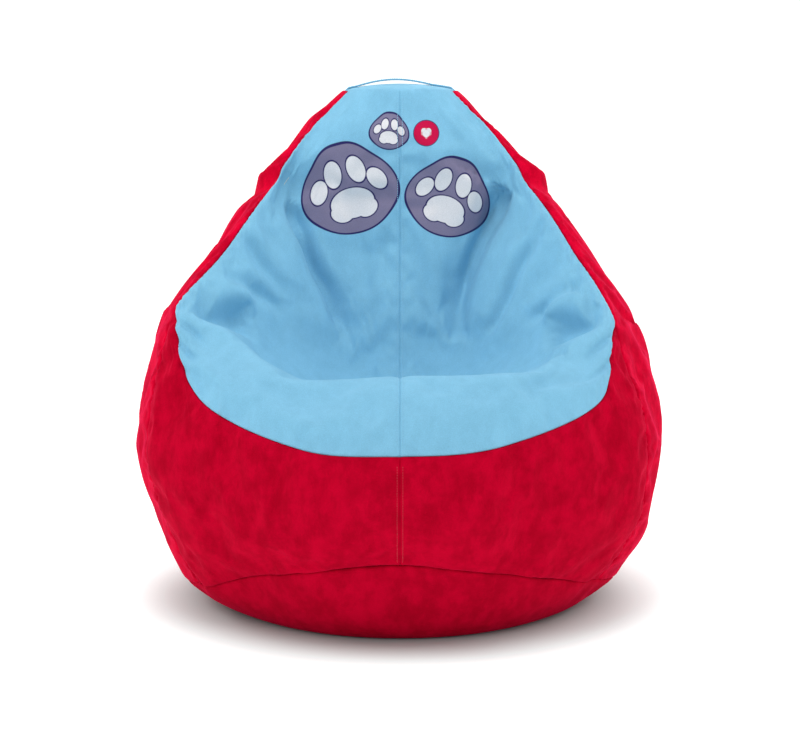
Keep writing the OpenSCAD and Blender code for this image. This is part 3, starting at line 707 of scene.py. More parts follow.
def settle(points, us, ts, hold):
    """Runs the closed cover as cloth over its fill, and returns how far each point moved."""
    rows = np.unique(np.append(np.arange(0, len(ts), 2), len(ts) - 1))
    columns = np.arange(0, len(us), 2)
    coarse = points[rows][:, columns]
    nr, nc = coarse.shape[:2]
    at = np.arange(nr * nc).reshape(nr, nc)
    beside = np.roll(at, -1, axis=1)
    faces = np.stack([at[:-1], beside[:-1], beside[1:], at[1:]], -1).reshape(-1, 4)
    mesh = bpy.data.meshes.new("settling")
    mesh.from_pydata(coarse.reshape(-1, 3).tolist(), [], faces.tolist())
    cover = bpy.data.objects.new("settling", mesh)
    scene.collection.objects.link(cover)
    u, t = us[columns][None], ts[rows][:, None]
    gap = np.min([np.abs((u - s + 180) % 360 - 180) for s in SEAM_US], axis=0) + 0 * t
    u_seam = np.where(np.abs(u) <= SIDE_SEAM, np.abs(t - U_ROW), 9.0)
    held = 1.2 * np.maximum(np.exp(-(gap / 2.4) ** 2), np.exp(-(u_seam / 0.18) ** 2))
    goal = np.clip(np.maximum(held, 0.16), 0, 1)
    goal = np.where(hold[rows][:, columns] < 0.05, 1.0, goal)
    group = cover.vertex_groups.new(name="hold")
    goal = np.round(goal.ravel(), 2)
    for weight in np.unique(goal):
        group.add(np.nonzero(goal == weight)[0].tolist(), float(weight), "REPLACE")
    cloth = cover.modifiers.new("cloth", "CLOTH")
    s = cloth.settings
    s.quality = 6
    s.mass = 0.12
    s.tension_stiffness = s.compression_stiffness = 22.0
    s.shear_stiffness = 9.0
    s.bending_stiffness = 1.6
    s.tension_damping = s.compression_damping = s.shear_damping = 8.0
    s.air_damping = 3.0
    s.vertex_group_mass = "hold"
    s.pin_stiffness = 0.8
    s.shrink_min = -EXTRA_CLOTH
    s.use_pressure = True
    s.uniform_pressure_force = 0.35
    s.effector_weights.gravity = 0.35
    cloth.collision_settings.use_collision = False
    cloth.collision_settings.use_self_collision = False
    cloth.point_cache.frame_start, cloth.point_cache.frame_end = 1, SETTLE_FRAMES
    for frame_number in range(1, SETTLE_FRAMES + 1):
        scene.frame_set(frame_number)
    bpy.context.view_layer.update()
    settled = cover.evaluated_get(bpy.context.evaluated_depsgraph_get()).to_mesh()
    after = np.zeros(nr * nc * 3)
    settled.vertices.foreach_get("co", after)
    bpy.data.objects.remove(cover)
    bpy.data.meshes.remove(mesh)
    scene.frame_set(1)
    move = after.reshape(nr, nc, 3) - coarse
    size = np.linalg.norm(move, axis=2, keepdims=True)
    move *= np.minimum(1.0, MAX_SETTLE / np.maximum(size, 1e-9))
    wide = np.concatenate([move, move[:, :1]], axis=1)
    wide_us = np.append(us[columns], us[columns][0] + 360.0)
    fine = spline(wide.transpose(1, 0, 2), wide_us, us).transpose(1, 0, 2)
    return spline(fine, ts[rows], ts)


def neck_crest(middle=68, width=9):
    """1 on the side seams beside the neck, which turn too sharply to swell or settle."""
    beside = np.exp(-((np.abs(column_us) - middle) / width) ** 2)[None]
    return beside * (ramp(row_ts, 9.2, 10.0) * (1 - ramp(row_ts, 12.4, 13.0)))[:, None]


def shaped_bag():
    """The whole cover: folds pressed in, then settled as cloth."""
    plain = bag_grid(column_us, row_ts)
    points = plain.copy()
    hold = still_zone(plain, column_us, row_ts)
    points = plain + (bulge(plain) - plain) * hold[..., None]
    normals = evened(wrapped_normals(points), 36)
    swell = 3.5 * MM * waves(points, 0.26, 3) + 1.3 * MM * waves(points, 0.11, 4)
    crest = neck_crest()
    points = points + normals * (swell * hold * (1 - crest))[..., None]
    ways = evened(wrapped_normals(points), 36)
    for crease in CREASES:
        points = crease.press(points, ways, row_ts, column_us)
    points = collar(points, evened(wrapped_normals(points), 36), column_us, row_ts)
    points = points + settle(points, column_us, row_ts, hold) * (
        hold * (1 - 0.7 * crest))[..., None]
    return plain, points


def wrapped_normals(points):
    wide = np.concatenate([points[:, -2:], points, points[:, :2]], axis=1)
    return grid_normals(wide)[:, 2:-2]


def evened(ways, rounds):
    """Directions averaged with their neighbours', over and over."""
    for _ in range(rounds):
        wide = np.pad(ways, ((1, 1), (0, 0), (0, 0)), mode="edge")
        ways = (np.roll(ways, 1, 1) + np.roll(ways, -1, 1) + 2 * ways
                + wide[:-2] + wide[2:]) / 6
    return ways / np.linalg.norm(ways, axis=2, keepdims=True)


plain_surface, surface = shaped_bag()
# Evened out so that the two panels at a seam turn in alike
outward = evened(wrapped_normals(surface), 8)
sewn_surface = np.concatenate([surface, outward], axis=2)
# How far each point was pushed in or out
plain_ways = wrapped_normals(plain_surface)
even_ways = evened(plain_ways, 150)
pushed = np.minimum(np.einsum("ijk,ijk->ij", surface - plain_surface, plain_ways),
                    np.einsum("ijk,ijk->ij", surface - plain_surface, even_ways))


def row_of(t):
    return int(np.argmin(np.abs(row_ts - t)))


def column_of(u):
    return int(round((u + 180.0) / 360.0 * COLUMNS))


def part_of(grid, u0, u1, t0, t1):
    columns = np.arange(column_of(u0), column_of(u1) + 1) % COLUMNS
    return grid[row_of(t0):row_of(t1) + 1][:, columns]


# ---------------------------------------------------------------- cloth pieces

# Distances from a seam at which every panel has a row of points
SEAM_STEPS = np.array([0.0, 1.0, 2.4, 4.5, 8.0]) * MM
STITCH_STEP = 3
NO_STEPS = np.array([0.0])
CLOTH_THICKNESS = 1.6 * MM
CELL = 5.0 * MM
SIDES = (("left", -1), ("right", 1))


def lengths(grid, axis):
    """Distance run along an axis from its first row or column."""
    steps = np.linalg.norm(np.diff(grid[..., :3], axis=axis), axis=2)
    run = np.cumsum(steps, axis=axis)
    pad = [(0, 0), (0, 0)]
    pad[axis] = (1, 0)
    return np.pad(run, pad)


def even_rows(grid, steps_low, steps_high, cell):
    """Respaces the rows of a grid: at steps from each end, evenly between them."""
    run = lengths(grid, 0)
    longest = run[-1].max()
    count = max(4, int(round(longest / cell)))
    new = []
    for c in range(grid.shape[1]):
        total = run[-1, c]
        low, high = steps_low[-1], total - steps_high[-1]
        where = np.concatenate([steps_low[:-1], np.linspace(low, high, count),
                                total - steps_high[:-1][::-1]])
        index = np.interp(where, run[:, c], np.arange(len(run)))
        new.append(spline(grid[:, c], np.arange(len(grid), dtype=float), index))
    return np.array(new).transpose(1, 0, 2)


def sewn_grid(grid, cell=CELL):
    """A panel's grid with close rows along all its seams."""
    grid = even_rows(grid.transpose(1, 0, 2), SEAM_STEPS, SEAM_STEPS, cell).transpose(1, 0, 2)
    return even_rows(grid, SEAM_STEPS, SEAM_STEPS, cell)


def seam_dip(distance):
    """How far the cloth turns in at a distance from a seam."""
    return 3.6 * MM * np.exp(-distance / (1.2 * MM)) + 1.8 * MM * np.exp(-distance / (6 * MM))


def puckers(run, distance, size, seed):
    """Gathers that a seam draws up in the cloth beside it."""
    beat = 2 * math.pi / (15 * MM)
    wave = np.sin(run * beat + 1.6 * np.sin(run * beat * 0.31 + seed) + seed)
    patch = 0.55 + 0.45 * np.sin(run * 2 * math.pi / 0.21 + 2.1 * seed)
    fade = np.exp(-distance / (17 * MM)) * (1 - np.exp(-distance / (3 * MM)))
    return size * MM * wave * patch * fade


def slab_mesh(name, outer, inner):
    """A closed thin sheet between an outer and an inner grid."""
    nr, nc = outer.shape[:2]
    n = nr * nc
    at = np.arange(n).reshape(nr, nc)
    a, b, c, d = at[:-1, :-1], at[:-1, 1:], at[1:, 1:], at[1:, :-1]
    faces = [np.stack([a, b, c, d], -1).reshape(-1, 4),
             np.stack([a + n, d + n, c + n, b + n], -1).reshape(-1, 4)]
    rim = np.concatenate([at[0, :-1], at[:-1, -1], at[-1, :0:-1], at[:0:-1, 0]])
    after = np.roll(rim, -1)
    faces.append(np.stack([rim, rim + n, after + n, after], -1))
    return mesh_of(name, np.concatenate([outer.reshape(-1, 3), inner.reshape(-1, 3)]),
                   np.concatenate(faces).tolist())


def mesh_of(name, points, faces):
    mesh = bpy.data.meshes.new(name)
    mesh.from_pydata(np.asarray(points).tolist(), [], faces)
    mesh.shade_smooth()
    return mesh


def disc_slab(name, outer, inner, outer_centre, inner_centre):
    """A closed thin disc. Its rings run from the centre out, counterclockwise from outside."""
    nr, nc = outer.shape[:2]
    n = nr * nc
    at = np.arange(n).reshape(nr, nc)
    beside = np.roll(at, -1, axis=1)
    a, b, c, d = at[:-1], at[1:], beside[1:], beside[:-1]
    faces = np.stack([a, b, c, d], -1).reshape(-1, 4).tolist()
    faces += np.stack([a + n, d + n, c + n, b + n], -1).reshape(-1, 4).tolist()
    faces += np.stack([at[-1], at[-1] + n, beside[-1] + n, beside[-1]], -1).tolist()
    faces += [(2 * n, int(p), int(q)) for p, q in zip(at[0], beside[0])]
    faces += [(2 * n + 1, n + int(q), n + int(p)) for p, q in zip(at[0], beside[0])]
    points = np.concatenate([outer.reshape(-1, 3), inner.reshape(-1, 3),
                             [outer_centre, inner_centre]])
    return mesh_of(name, points, faces)


def add_piece(name, mesh, material, body="bag", nodes=()):
    piece = bpy.data.objects.new(name, mesh)
    scene.collection.objects.link(piece)
    mesh.materials.clear()
    mesh.materials.append(material)
    if body:
        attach(piece, body)
    if nodes:
        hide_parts(*nodes)
    return piece


def make_panel(name, node, grid, material, gathers, grips, seed):
    """One sewn panel. grid holds its points and outward directions.

    gathers: puckers in mm at its low, high, left and right seams; grips: how far it
    turns in there. Returns its outer grid and the outward directions there.
    """
    grid = sewn_grid(grid)
    grid, normal = grid[..., :3], grid[..., 3:]
    normal = normal / np.linalg.norm(normal, axis=2, keepdims=True)
    across, up = lengths(grid, 1), lengths(grid, 0)
    edges = (up, up[-1:] - up, across, across[:, -1:] - across)
    # An edge that lies beside a zip, and not at the seam's line, is only folded under
    open_left = np.where(at_zip(grid[:, :1]), 0.2, 1.0)
    open_right = np.where(at_zip(grid[:, -1:]), 0.2, 1.0)
    dip = 0.0
    for i, (edge, closed) in enumerate(zip(edges, (1.0, 1.0, open_left, open_right))):
        run = across if i < 2 else up
        dip = dip + seam_dip(edge) * grips[i] * closed
        dip = dip - puckers(run, edge, gathers[i], seed + 1.7 * i) * (closed == 1.0)
    outer = grid - normal * np.minimum(dip, 6 * MM)[..., None]
    inner = outer - CLOTH_THICKNESS * normal
    piece = add_piece(name, slab_mesh(name, outer, inner), material, nodes=[node])
    return outer, normal


def at_zip(points):
    x, y = points[..., 0], points[..., 1]
    return (np.abs(np.abs(x) - ZIP_SLOT) < 0.6 * MM) & (y > 0.25)


def stitches(name, lines, material, body="bag", length=3.0 * MM, pitch=4.1 * MM,
             radius=0.42 * MM):
    """Rows of real stitches: short threads that rise from the cloth and go back in.

    lines are pairs of points and outward directions along each row.
    """
    bow = np.array([-1.0, -0.55, 0.0, 0.55, 1.0])
    rise = radius * np.array([-1.1, 0.45, 0.9, 0.45, -1.1])
    girth = np.array([0.75, 1.0, 1.0, 1.0, 0.75])
    around = np.arange(6) * math.pi / 3
    points, faces = [], []
    for path, out in lines:
        run = np.concatenate([[0], np.cumsum(np.linalg.norm(np.diff(path, axis=0), axis=1))])
        for centre in np.arange(pitch, run[-1] - pitch, pitch):
            where = centre + bow * length / 2
            spot = np.stack([np.interp(where, run, path[:, k]) for k in range(3)], 1)
            away = np.stack([np.interp(where, run, out[:, k]) for k in range(3)], 1)
            away /= np.linalg.norm(away, axis=1, keepdims=True)
            way = spot[-1] - spot[0]
            across = np.cross(way / np.linalg.norm(way), away)
            ring = (np.cos(around)[None, :, None] * across[:, None]
                    + np.sin(around)[None, :, None] * away[:, None])
            core = spot + away * rise[:, None]
            first = len(points) * 30
            points.append((core[:, None] + radius * girth[:, None, None] * ring).reshape(-1, 3))
            for r in range(4):
                for k in range(6):
                    a, b = first + 6 * r + k, first + 6 * r + (k + 1) % 6
                    faces.append((a, b, b + 6, a + 6))
            faces.append(tuple(first + k for k in range(5, -1, -1)))
            faces.append(tuple(first + 24 + k for k in range(6)))
    mesh = mesh_of(name, np.concatenate(points), faces)
    return add_piece(name, mesh, material, body)


# ---------------------------------------------------------------- the cover

ZIP_SLOT = 9.3 * MM
ZIP_ROWS, INNER_ZIP_ROWS = (5.0, 12.0), (6.0, 11.0)
SLOT_REACH = 50 * MM


def open_slot(grid, ts, rows):
    """Parts the cloth at the middle of the back to make room for a zip."""
    x = grid[..., 0]
    grip = ramp(ts, rows[0] - 0.25, rows[0]) * (1 - ramp(ts, rows[1], rows[1] + 0.25))
    side = np.sign(x[len(x) // 2].sum())
    near = np.maximum(0.0, 1 - np.abs(x) / SLOT_REACH)
    moved = grid.copy()
    moved[..., 0] += side * ZIP_SLOT * near * grip[:, None]
    return moved


def span(sign, a, b):
    return (a, b) if sign > 0 else (-b, -a)


def ts_of(t0, t1):
    return row_ts[row_of(t0):row_of(t1) + 1]


def make_cover():
    threads = {"blue": [], "red": [], "zip": []}
    for number, (side, sign) in enumerate(SIDES):
        seed = 2.3 * number
        edge = STITCH_STEP if sign > 0 else -1 - STITCH_STEP
        ends = (lambda front, rear: (front, rear) if sign > 0 else (rear, front))
        outer, out = make_panel(
            f"front_{side}_top", f"front_{side}_top_panel",
            part_of(sewn_surface, *span(sign, 0, SIDE_SEAM), U_ROW, TOP_ROW), blue_printed,
            (0.8, 0.9, *ends(0.25, 1.5)), (0.8, 0.6, *ends(0.35, 1.4)), seed)
        threads["blue"].append((outer[6:-4, edge], out[6:-4, edge]))
        outer, out = make_panel(
            f"front_{side}_lower", f"front_{side}_lower_panel",
            part_of(sewn_surface, *span(sign, 0, SIDE_SEAM), 0, U_ROW), red,
            (0.9, 0.6, *ends(0.3, 2.4)), (0.8, 0.8, *ends(0.45, 1.4)),
            seed + 0.9)
        threads["red"].append((outer[4:-6, edge], out[4:-6, edge]))
        make_panel(f"{side}_side", f"{side}_side_panel",
                   part_of(sewn_surface, *span(sign, SIDE_SEAM, REAR_SEAM), 0, TOP_ROW),
                   red_side_painted_lit,
                   (0.9, 0.9, *ends(2.2, 1.2)), (0.8, 0.6, *ends(1.4, 1.0)),
                   seed + 1.8)
        back = part_of(sewn_surface, *span(sign, REAR_SEAM, 180), 0, TOP_ROW)
        outer, out = make_panel(
            f"back_{side}", f"back_{side}_panel",
            open_slot(back, ts_of(0, TOP_ROW), ZIP_ROWS), red,
            (0.9, 0.9, *ends(1.0, 0.0)), (0.8, 0.6, 1.0, 1.0), seed + 2.7)
        edge = -1 - STITCH_STEP if sign > 0 else STITCH_STEP
        sewn = slice(8, -8)
        threads["zip"].append((outer[sewn, edge], out[sewn, edge]))
    stitches("centre_stitches_blue", threads["blue"], blue_thread)
    stitches("centre_stitches_red", threads["red"], red_thread)
    stitches("zip_stitches", threads["zip"], red_thread)


def make_base():
    """The base panel: flat where it rests, and curved up to its seam."""
    skirt = part_of(surface, -180, 180 - 360 / COLUMNS, -1, 0)[:, ::2]
    skirt = even_rows(skirt, NO_STEPS, SEAM_STEPS, CELL)
    patch = [skirt[0] * np.array([k, k, 0.0]) for k in np.linspace(0.04, 1.0, 26)[:-1]]
    grid = np.concatenate([np.array(patch), skirt])
    wide = np.concatenate([grid[:, -2:], grid, grid[:, :2]], axis=1)
    normal = grid_normals(wide)[:, 2:-2]
    flat = grid[..., 2] < 0.4 * MM
    normal[flat] = (0.0, 0.0, -1.0)
    up = lengths(grid, 0)
    edge = up[-1:] - up
    run = np.tile(lengths(wide[-1:], 1)[:, 2:-2], (len(grid), 1))
    dip = np.minimum(seam_dip(edge) - puckers(run, edge, 0.9, 0.4), 6 * MM)
    outer = grid - normal * np.where(flat, 0.0, dip)[..., None]
    inner = outer - CLOTH_THICKNESS * normal
    mesh = disc_slab("base", outer, inner, (0, 0, 0), (0, 0, CLOTH_THICKNESS))
    base = add_piece("base", mesh, red, nodes=["base_panel"])


def make_cap():
    """The crowned cap over the top opening."""
    rows = part_of(surface, -180, 180 - 360 / COLUMNS, TOP_ROW, TOP_ROW + 0.9)[:, ::4]
    rows = even_rows(rows, SEAM_STEPS, NO_STEPS, CELL)
    grid = rows[::-1]
    wide = np.concatenate([grid[:, -2:], grid, grid[:, :2]], axis=1)
    normal = -grid_normals(wide)[:, 2:-2]
    up = lengths(grid, 0)
    edge = up[-1:] - up
    run = np.tile(lengths(wide[-1:], 1)[:, 2:-2], (len(grid), 1))
    dip = np.minimum(seam_dip(edge) - puckers(run, edge, 0.9, 1.4), 6 * MM)
    outer = grid - normal * dip[..., None]
    inner = outer - CLOTH_THICKNESS * normal
    centre = Vector(CAP_CENTRE) + Vector((0, 0, CROWN - RIM_DROP))
    mesh = disc_slab("top_cap", outer[:, ::-1], inner[:, ::-1], centre,
                     centre - Vector((0, 0, CLOTH_THICKNESS)))
    cap = add_piece("top_cap_crown", mesh, blue, nodes=["top_cap"])


# ---------------------------------------------------------------- handle

STRAP_Y, STRAP_WIDTH, STRAP_THICKNESS = 0.235, 30 * MM, 3 * MM
STRAP_HALF, STRAP_FREE, STRAP_GAP, CAP_HALF = 0.101, 0.072, 6.0 * MM, 0.1035
STRAP_SHIFT = -0.012


def under_strap(x):
    cap = CAP_CENTRE[2] + CROWN - RIM_DROP - CROWN * (x / CAP_HALF) ** 2
    free = np.maximum(0.0, 1 - ((x - STRAP_SHIFT) / STRAP_FREE) ** 2) ** 1.3
    tuck = -3.5 * MM * ramp(np.abs(x), 0.095, STRAP_HALF)
    return cap + 0.25 * MM + STRAP_GAP * free + tuck


def make_handle():
    """One folded strap of the cover's cloth, sewn into the top seam at both ends."""
    xs = np.linspace(-STRAP_HALF, STRAP_HALF, 121)
    zs = under_strap(xs) + STRAP_THICKNESS / 2
    tilt = np.arctan(np.gradient(zs, xs))
    round_r = STRAP_THICKNESS / 2
    half = STRAP_WIDTH / 2
    profile = [(-half + round_r - round_r * math.sin(a), round_r * math.cos(a))
               for a in np.linspace(0, math.pi, 7)]
    profile += [(y, -round_r) for y in np.linspace(-half + round_r, half - round_r, 9)[1:-1]]
    profile += [(half - round_r + round_r * math.sin(a), -round_r * math.cos(a))
                for a in np.linspace(0, math.pi, 7)]
    profile += [(y, round_r) for y in np.linspace(half - round_r, -half + round_r, 9)[1:-1]]
    # The cloth is drawn in where the edge stitches run, and bulges a little between them
    section = np.array([(y, w * (1.0 - 0.16 * math.exp(-((abs(y) - 11.8 * MM) / (1.2 * MM)) ** 2)))
                        for y, w in profile])
    rings = []
    for x, z, a in zip(xs, zs, tilt):
        y, w = section[:, 0], section[:, 1]
        ripple = 0.12 * MM * math.sin(x * 900.0)
        rings.append(np.stack([x - w * math.sin(a), STRAP_Y + y,
                               z + (w + ripple * np.sign(w)) * math.cos(a)], 1))
    n = len(section)
    points = np.concatenate(rings)
    faces = []
    for r in range(len(xs) - 1):
        for k in range(n):
            a, b = r * n + k, r * n + (k + 1) % n
            faces.append((a, a + n, b + n, b))
    faces.append(tuple(range(n)))
    last = (len(xs) - 1) * n
    faces.append(tuple(range(last + n - 1, last - 1, -1)))
    strap = add_piece("handle", mesh_of("handle", points, faces), blue, None,
                      ["handle_strap", "handle_tab_left", "handle_tab_right"])
    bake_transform(strap)
    lines = []
    top = zs + STRAP_THICKNESS / 2
    out = np.stack([-np.sin(tilt), 0 * tilt, np.cos(tilt)], 1)
    for y in (-11.8 * MM, 11.8 * MM):
        lines.append((np.stack([xs, 0 * xs + STRAP_Y + y, top - 0.25 * MM], 1)[2:-2], out[2:-2]))
    for sign in (-1, 1):
        for x in (0.0885, 0.0955):
            ys = np.linspace(-11.5 * MM, 11.5 * MM, 15)
            z = np.interp(sign * x, xs, top) - 0.1 * MM
            slope = np.interp(sign * x, xs, tilt)
            row = np.stack([0 * ys + sign * x, STRAP_Y + ys, 0 * ys + z], 1)
            lines.append((row, np.tile([-math.sin(slope), 0.0, math.cos(slope)], (15, 1))))
    sewing = stitches("handle_stitches", lines, blue_thread, None)
    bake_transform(sewing)


# ---------------------------------------------------------------- zips

# A zip's own frame: x across, y out of the bag, z up along the zip
ZIP_TILT = math.atan(0.245)
ZIP_ORIGIN = np.array([0.0, 432.75, 430.0]) * MM
ROW_GAP, TEETH_W, TEETH_T, TAPE_HALF, TAPE_T = (v * MM for v in (0.7, 2.5, 2.0, 9.0, 0.8))
TAPE_END, TEETH_END, STOP_LEN = 2 * MM, 6 * MM, 4 * MM
COVER_ZIP = {"y": -1.0 * MM, "from": 2.0 * MM, "to": 418.07 * MM, "slider": 400.07 * MM}
INNER_ZIP = {"y": -9.9 * MM, "from": 60.0 * MM, "to": 360.0 * MM, "slider": 342.0 * MM}
PLATE_T, PLATE_Y, SLIDER_LEN, SLIDER_W = 0.9 * MM, 1.3 * MM, 14 * MM, 10 * MM
FLANGE_IN, FLANGE_Y, BAR_Y, BAR_R = 3.6 * MM, 0.8 * MM, 4.8 * MM, 0.8 * MM


def on_zip(points, y=0.0, z=0.0):
    """From the zip's frame, shifted by y and z, to the bag's."""
    points = np.asarray(points, float) + np.array([0.0, y, z])
    c, s = math.cos(ZIP_TILT), math.sin(ZIP_TILT)
    turned = np.stack([points[..., 0], c * points[..., 1] - s * points[..., 2],
                       s * points[..., 1] + c * points[..., 2]], -1)
    return turned + ZIP_ORIGIN


def zip_tape(name, sign, zip_at, material, node):
    """A ribbed tape, with a cord along the edge beside the teeth."""
    zs = np.arange(zip_at["from"], zip_at["to"], 2.0 * MM)
    xs = np.linspace(ROW_GAP + TEETH_W + 0.1 * MM, TAPE_HALF, 15)
    x, z = np.meshgrid(sign * xs[::sign], zs)
    thick = 0.5 * TAPE_T * (0.78 + 0.22 * np.cos(2 * math.pi * (np.abs(x) - xs[0]) / (1.63 * MM)))
    thick *= 1 - 0.5 * ramp(np.abs(x), TAPE_HALF - 0.5 * MM, TAPE_HALF)
    wave = 0.10 * MM * np.sin(z * 210.0) * ramp(np.abs(x), 4 * MM, TAPE_HALF)
    front = on_zip(np.stack([x, thick + 0.5 * wave, z], -1), zip_at["y"])
    rear = on_zip(np.stack([x, -thick + 0.5 * wave, z], -1), zip_at["y"])
    # Seen from behind the bag, x runs to the left
    mesh = slab_mesh(name, front[:, ::-1], rear[:, ::-1])
    add_piece(name, mesh, material, nodes=[node])


def zip_coil(name, sign, zip_at, material, node):
    """A row of coiled nylon teeth."""
    wire, pitch, turns_of, sides = 0.47 * MM, 1.3 * MM, 12, 6
    low = zip_at["from"] + STOP_LEN + TEETH_END
    high = zip_at["to"] - STOP_LEN - TEETH_END
    steps = int((high - low) / pitch * turns_of)
    a = np.arange(steps) * 2 * math.pi / turns_of + (math.pi if sign > 0 else 0.0)
    centre = sign * (ROW_GAP + TEETH_W / 2)
    core = np.stack([centre + sign * (TEETH_W / 2 - wire) * np.cos(a),
                     (TEETH_T / 2 - wire) * np.sin(a),
                     low + np.arange(steps) * pitch / turns_of], 1)
    way = np.gradient(core, axis=0)
    way /= np.linalg.norm(way, axis=1, keepdims=True)
    first = np.cross(way, np.array([0.0, 0.0, 1.0]))
    first /= np.linalg.norm(first, axis=1, keepdims=True)
    second = np.cross(way, first)
    b = np.arange(sides) * 2 * math.pi / sides
    ring = core[:, None] + wire * (np.cos(b)[None, :, None] * first[:, None]
                                   + np.sin(b)[None, :, None] * second[:, None])
    at = np.arange(steps * sides).reshape(steps, sides)
    beside = np.roll(at, -1, axis=1)
    faces = np.stack([at[:-1], beside[:-1], beside[1:], at[1:]], -1).reshape(-1, 4).tolist()
    faces += [tuple(at[0, ::-1].tolist()), tuple(at[-1].tolist())]
    mesh = mesh_of(name, on_zip(ring.reshape(-1, 3), zip_at["y"]), faces)
    add_piece(name, mesh, material, nodes=[node])


def bevelled_box(bm, low, high, bevel, segments=3):
    """Adds a box with rounded edges to a bmesh."""
    part = bmesh.new()
    size = [high[k] - low[k] for k in range(3)]
    middle = [(high[k] + low[k]) / 2 for k in range(3)]
    bmesh.ops.create_cube(part, size=1.0,
                          matrix=Matrix.Translation(middle) @ Matrix.Diagonal((*size, 1.0)))
    bmesh.ops.bevel(part, geom=part.edges[:] + part.verts[:], offset=bevel, segments=segments,
                    profile=0.5, affect="EDGES", clamp_overlap=True)
    absorb(bm, part)


def absorb(bm, part):
    """Moves everything in part into bm."""
    made = bpy.data.meshes.new("part")
    part.to_mesh(made)
    part.free()
    bm.from_mesh(made)
    bpy.data.meshes.remove(made)


def outline_plate(bm, rings, thickness, bevel, place):
    """Adds a flat plate with holes and rounded edges. rings are loops of x, y points."""
    curve = bpy.data.curves.new("plate", "CURVE")
    curve.dimensions = "2D"
    curve.fill_mode = "BOTH"
    curve.extrude = thickness / 2 - bevel
    curve.bevel_depth = bevel
    curve.bevel_resolution = 2
    curve.offset = -bevel
    for ring in rings:
        loop = curve.splines.new("POLY")
        loop.points.add(len(ring) - 1)
        for point, (x, y) in zip(loop.points, ring):
            point.co = (x, y, 0.0, 1.0)
        loop.use_cyclic_u = True
    holder = bpy.data.objects.new("plate", curve)
    made = bpy.data.meshes.new_from_object(holder)
    bpy.data.objects.remove(holder)
    bpy.data.curves.remove(curve)
    part = bmesh.new()
    part.from_mesh(made)
    bpy.data.meshes.remove(made)
    bmesh.ops.remove_doubles(part, verts=part.verts, dist=0.002 * MM)
    bmesh.ops.recalc_face_normals(part, faces=part.faces)
    part.transform(place)
    absorb(bm, part)


def rounded(corners, radius, steps=6):
    """A closed outline with rounded corners."""
    loop = []
    n = len(corners)
    for i, corner in enumerate(corners):
        p = np.array(corner)
        a, b = np.array(corners[i - 1]) - p, np.array(corners[(i + 1) % n]) - p
        reach = min(radius, 0.45 * np.linalg.norm(a), 0.45 * np.linalg.norm(b))
        start, end = p + a / np.linalg.norm(a) * reach, p + b / np.linalg.norm(b) * reach
        for q in np.linspace(0, 1, steps):
            loop.append(tuple((1 - q) ** 2 * start + 2 * q * (1 - q) * p + q**2 * end))
    return loop


def circle(x, y, r, count=28):
    return [(x + r * math.cos(a), y + r * math.sin(a))
            for a in np.arange(count) * 2 * math.pi / count]


# A plate's outline has x across and y up the zip, and is turned to stand in the zip's frame
STAND = Matrix(((1, 0, 0, 0), (0, 0, -1, 0), (0, 1, 0, 0), (0, 0, 0, 1)))
SIDEWAYS = Matrix(((0, 0, 1, 0), (1, 0, 0, 0), (0, 1, 0, 0), (0, 0, 0, 1)))


def finished(name, bm, zip_at, z, material, body, node, y=0.0, smooth=35.0):
    mesh = bpy.data.meshes.new(name)
    bm.to_mesh(mesh)
    bm.free()
    points = np.zeros(len(mesh.vertices) * 3)
    mesh.vertices.foreach_get("co", points)
    mesh.vertices.foreach_set("co", on_zip(points.reshape(-1, 3), zip_at["y"] + y, z).ravel())
    mesh.shade_smooth()
    mesh.set_sharp_from_angle(angle=math.radians(smooth))
    return add_piece(name, mesh, material, body, [node])


def slider_body(bm):
    """Two shouldered plates with turned-in edges, joined by a post at the top."""
    w, h = SLIDER_W / 2, SLIDER_LEN / 2
    outline = rounded([(-w, h - 1.2 * MM), (-w + 1.6 * MM, h), (-1.0 * MM, h), (0, h - 1.5 * MM),
                       (1.0 * MM, h), (w - 1.6 * MM, h), (w, h - 1.2 * MM), (w, -h + 2.6 * MM),
                       (w - 0.8 * MM, -h), (-w + 0.8 * MM, -h), (-w, -h + 2.6 * MM)], 1.4 * MM)
    for side in (1, -1):
        place = Matrix.Translation((0, side * (PLATE_Y + PLATE_T / 2), 0)) @ STAND
        outline_plate(bm, [outline], PLATE_T, 0.24 * MM, place)
        for edge in (1, -1):
            xs = sorted((edge * FLANGE_IN, edge * (w - 0.05 * MM)))
            ys = sorted((side * FLANGE_Y, side * (PLATE_Y + PLATE_T / 2)))
            bevelled_box(bm, (xs[0], ys[0], -h + 0.4 * MM), (xs[1], ys[1], h - 1.6 * MM), 0.16 * MM)
    bevelled_box(bm, (-0.4 * MM, -PLATE_Y - 0.3 * MM, h - 4 * MM),
                 (0.4 * MM, PLATE_Y + 0.3 * MM, h - 1.9 * MM), 0.12 * MM)


def pull_bridge(bm):
    """Two shaped arms and the bar that the pull tab hangs on."""
    top = BAR_Y + BAR_R + 0.4 * MM
    foot = PLATE_Y + 0.45 * MM
    # The arm's outline has x up the zip and y out of the bag
    arm = rounded([(-2.1 * MM, foot), (2.1 * MM, foot), (1.5 * MM, foot + 1.7 * MM),
                   (1.5 * MM, top), (-1.5 * MM, top), (-1.5 * MM, foot + 1.7 * MM)], 0.9 * MM)
    flip = Matrix(((0, 0, 1, 0), (0, 1, 0, 0), (1, 0, 0, 0), (0, 0, 0, 1)))
    for side in (1, -1):
        outline_plate(bm, [arm], 1.1 * MM, 0.22 * MM,
                      Matrix.Translation((side * 3.25 * MM, 0, 0)) @ flip)
    part = bmesh.new()
    bmesh.ops.create_cone(part, cap_ends=True, segments=28, radius1=BAR_R, radius2=BAR_R,
                          depth=6.4 * MM, matrix=Matrix.Translation((0, BAR_Y, 0))
                          @ Matrix.Rotation(math.pi / 2, 4, "Y"))
    absorb(bm, part)


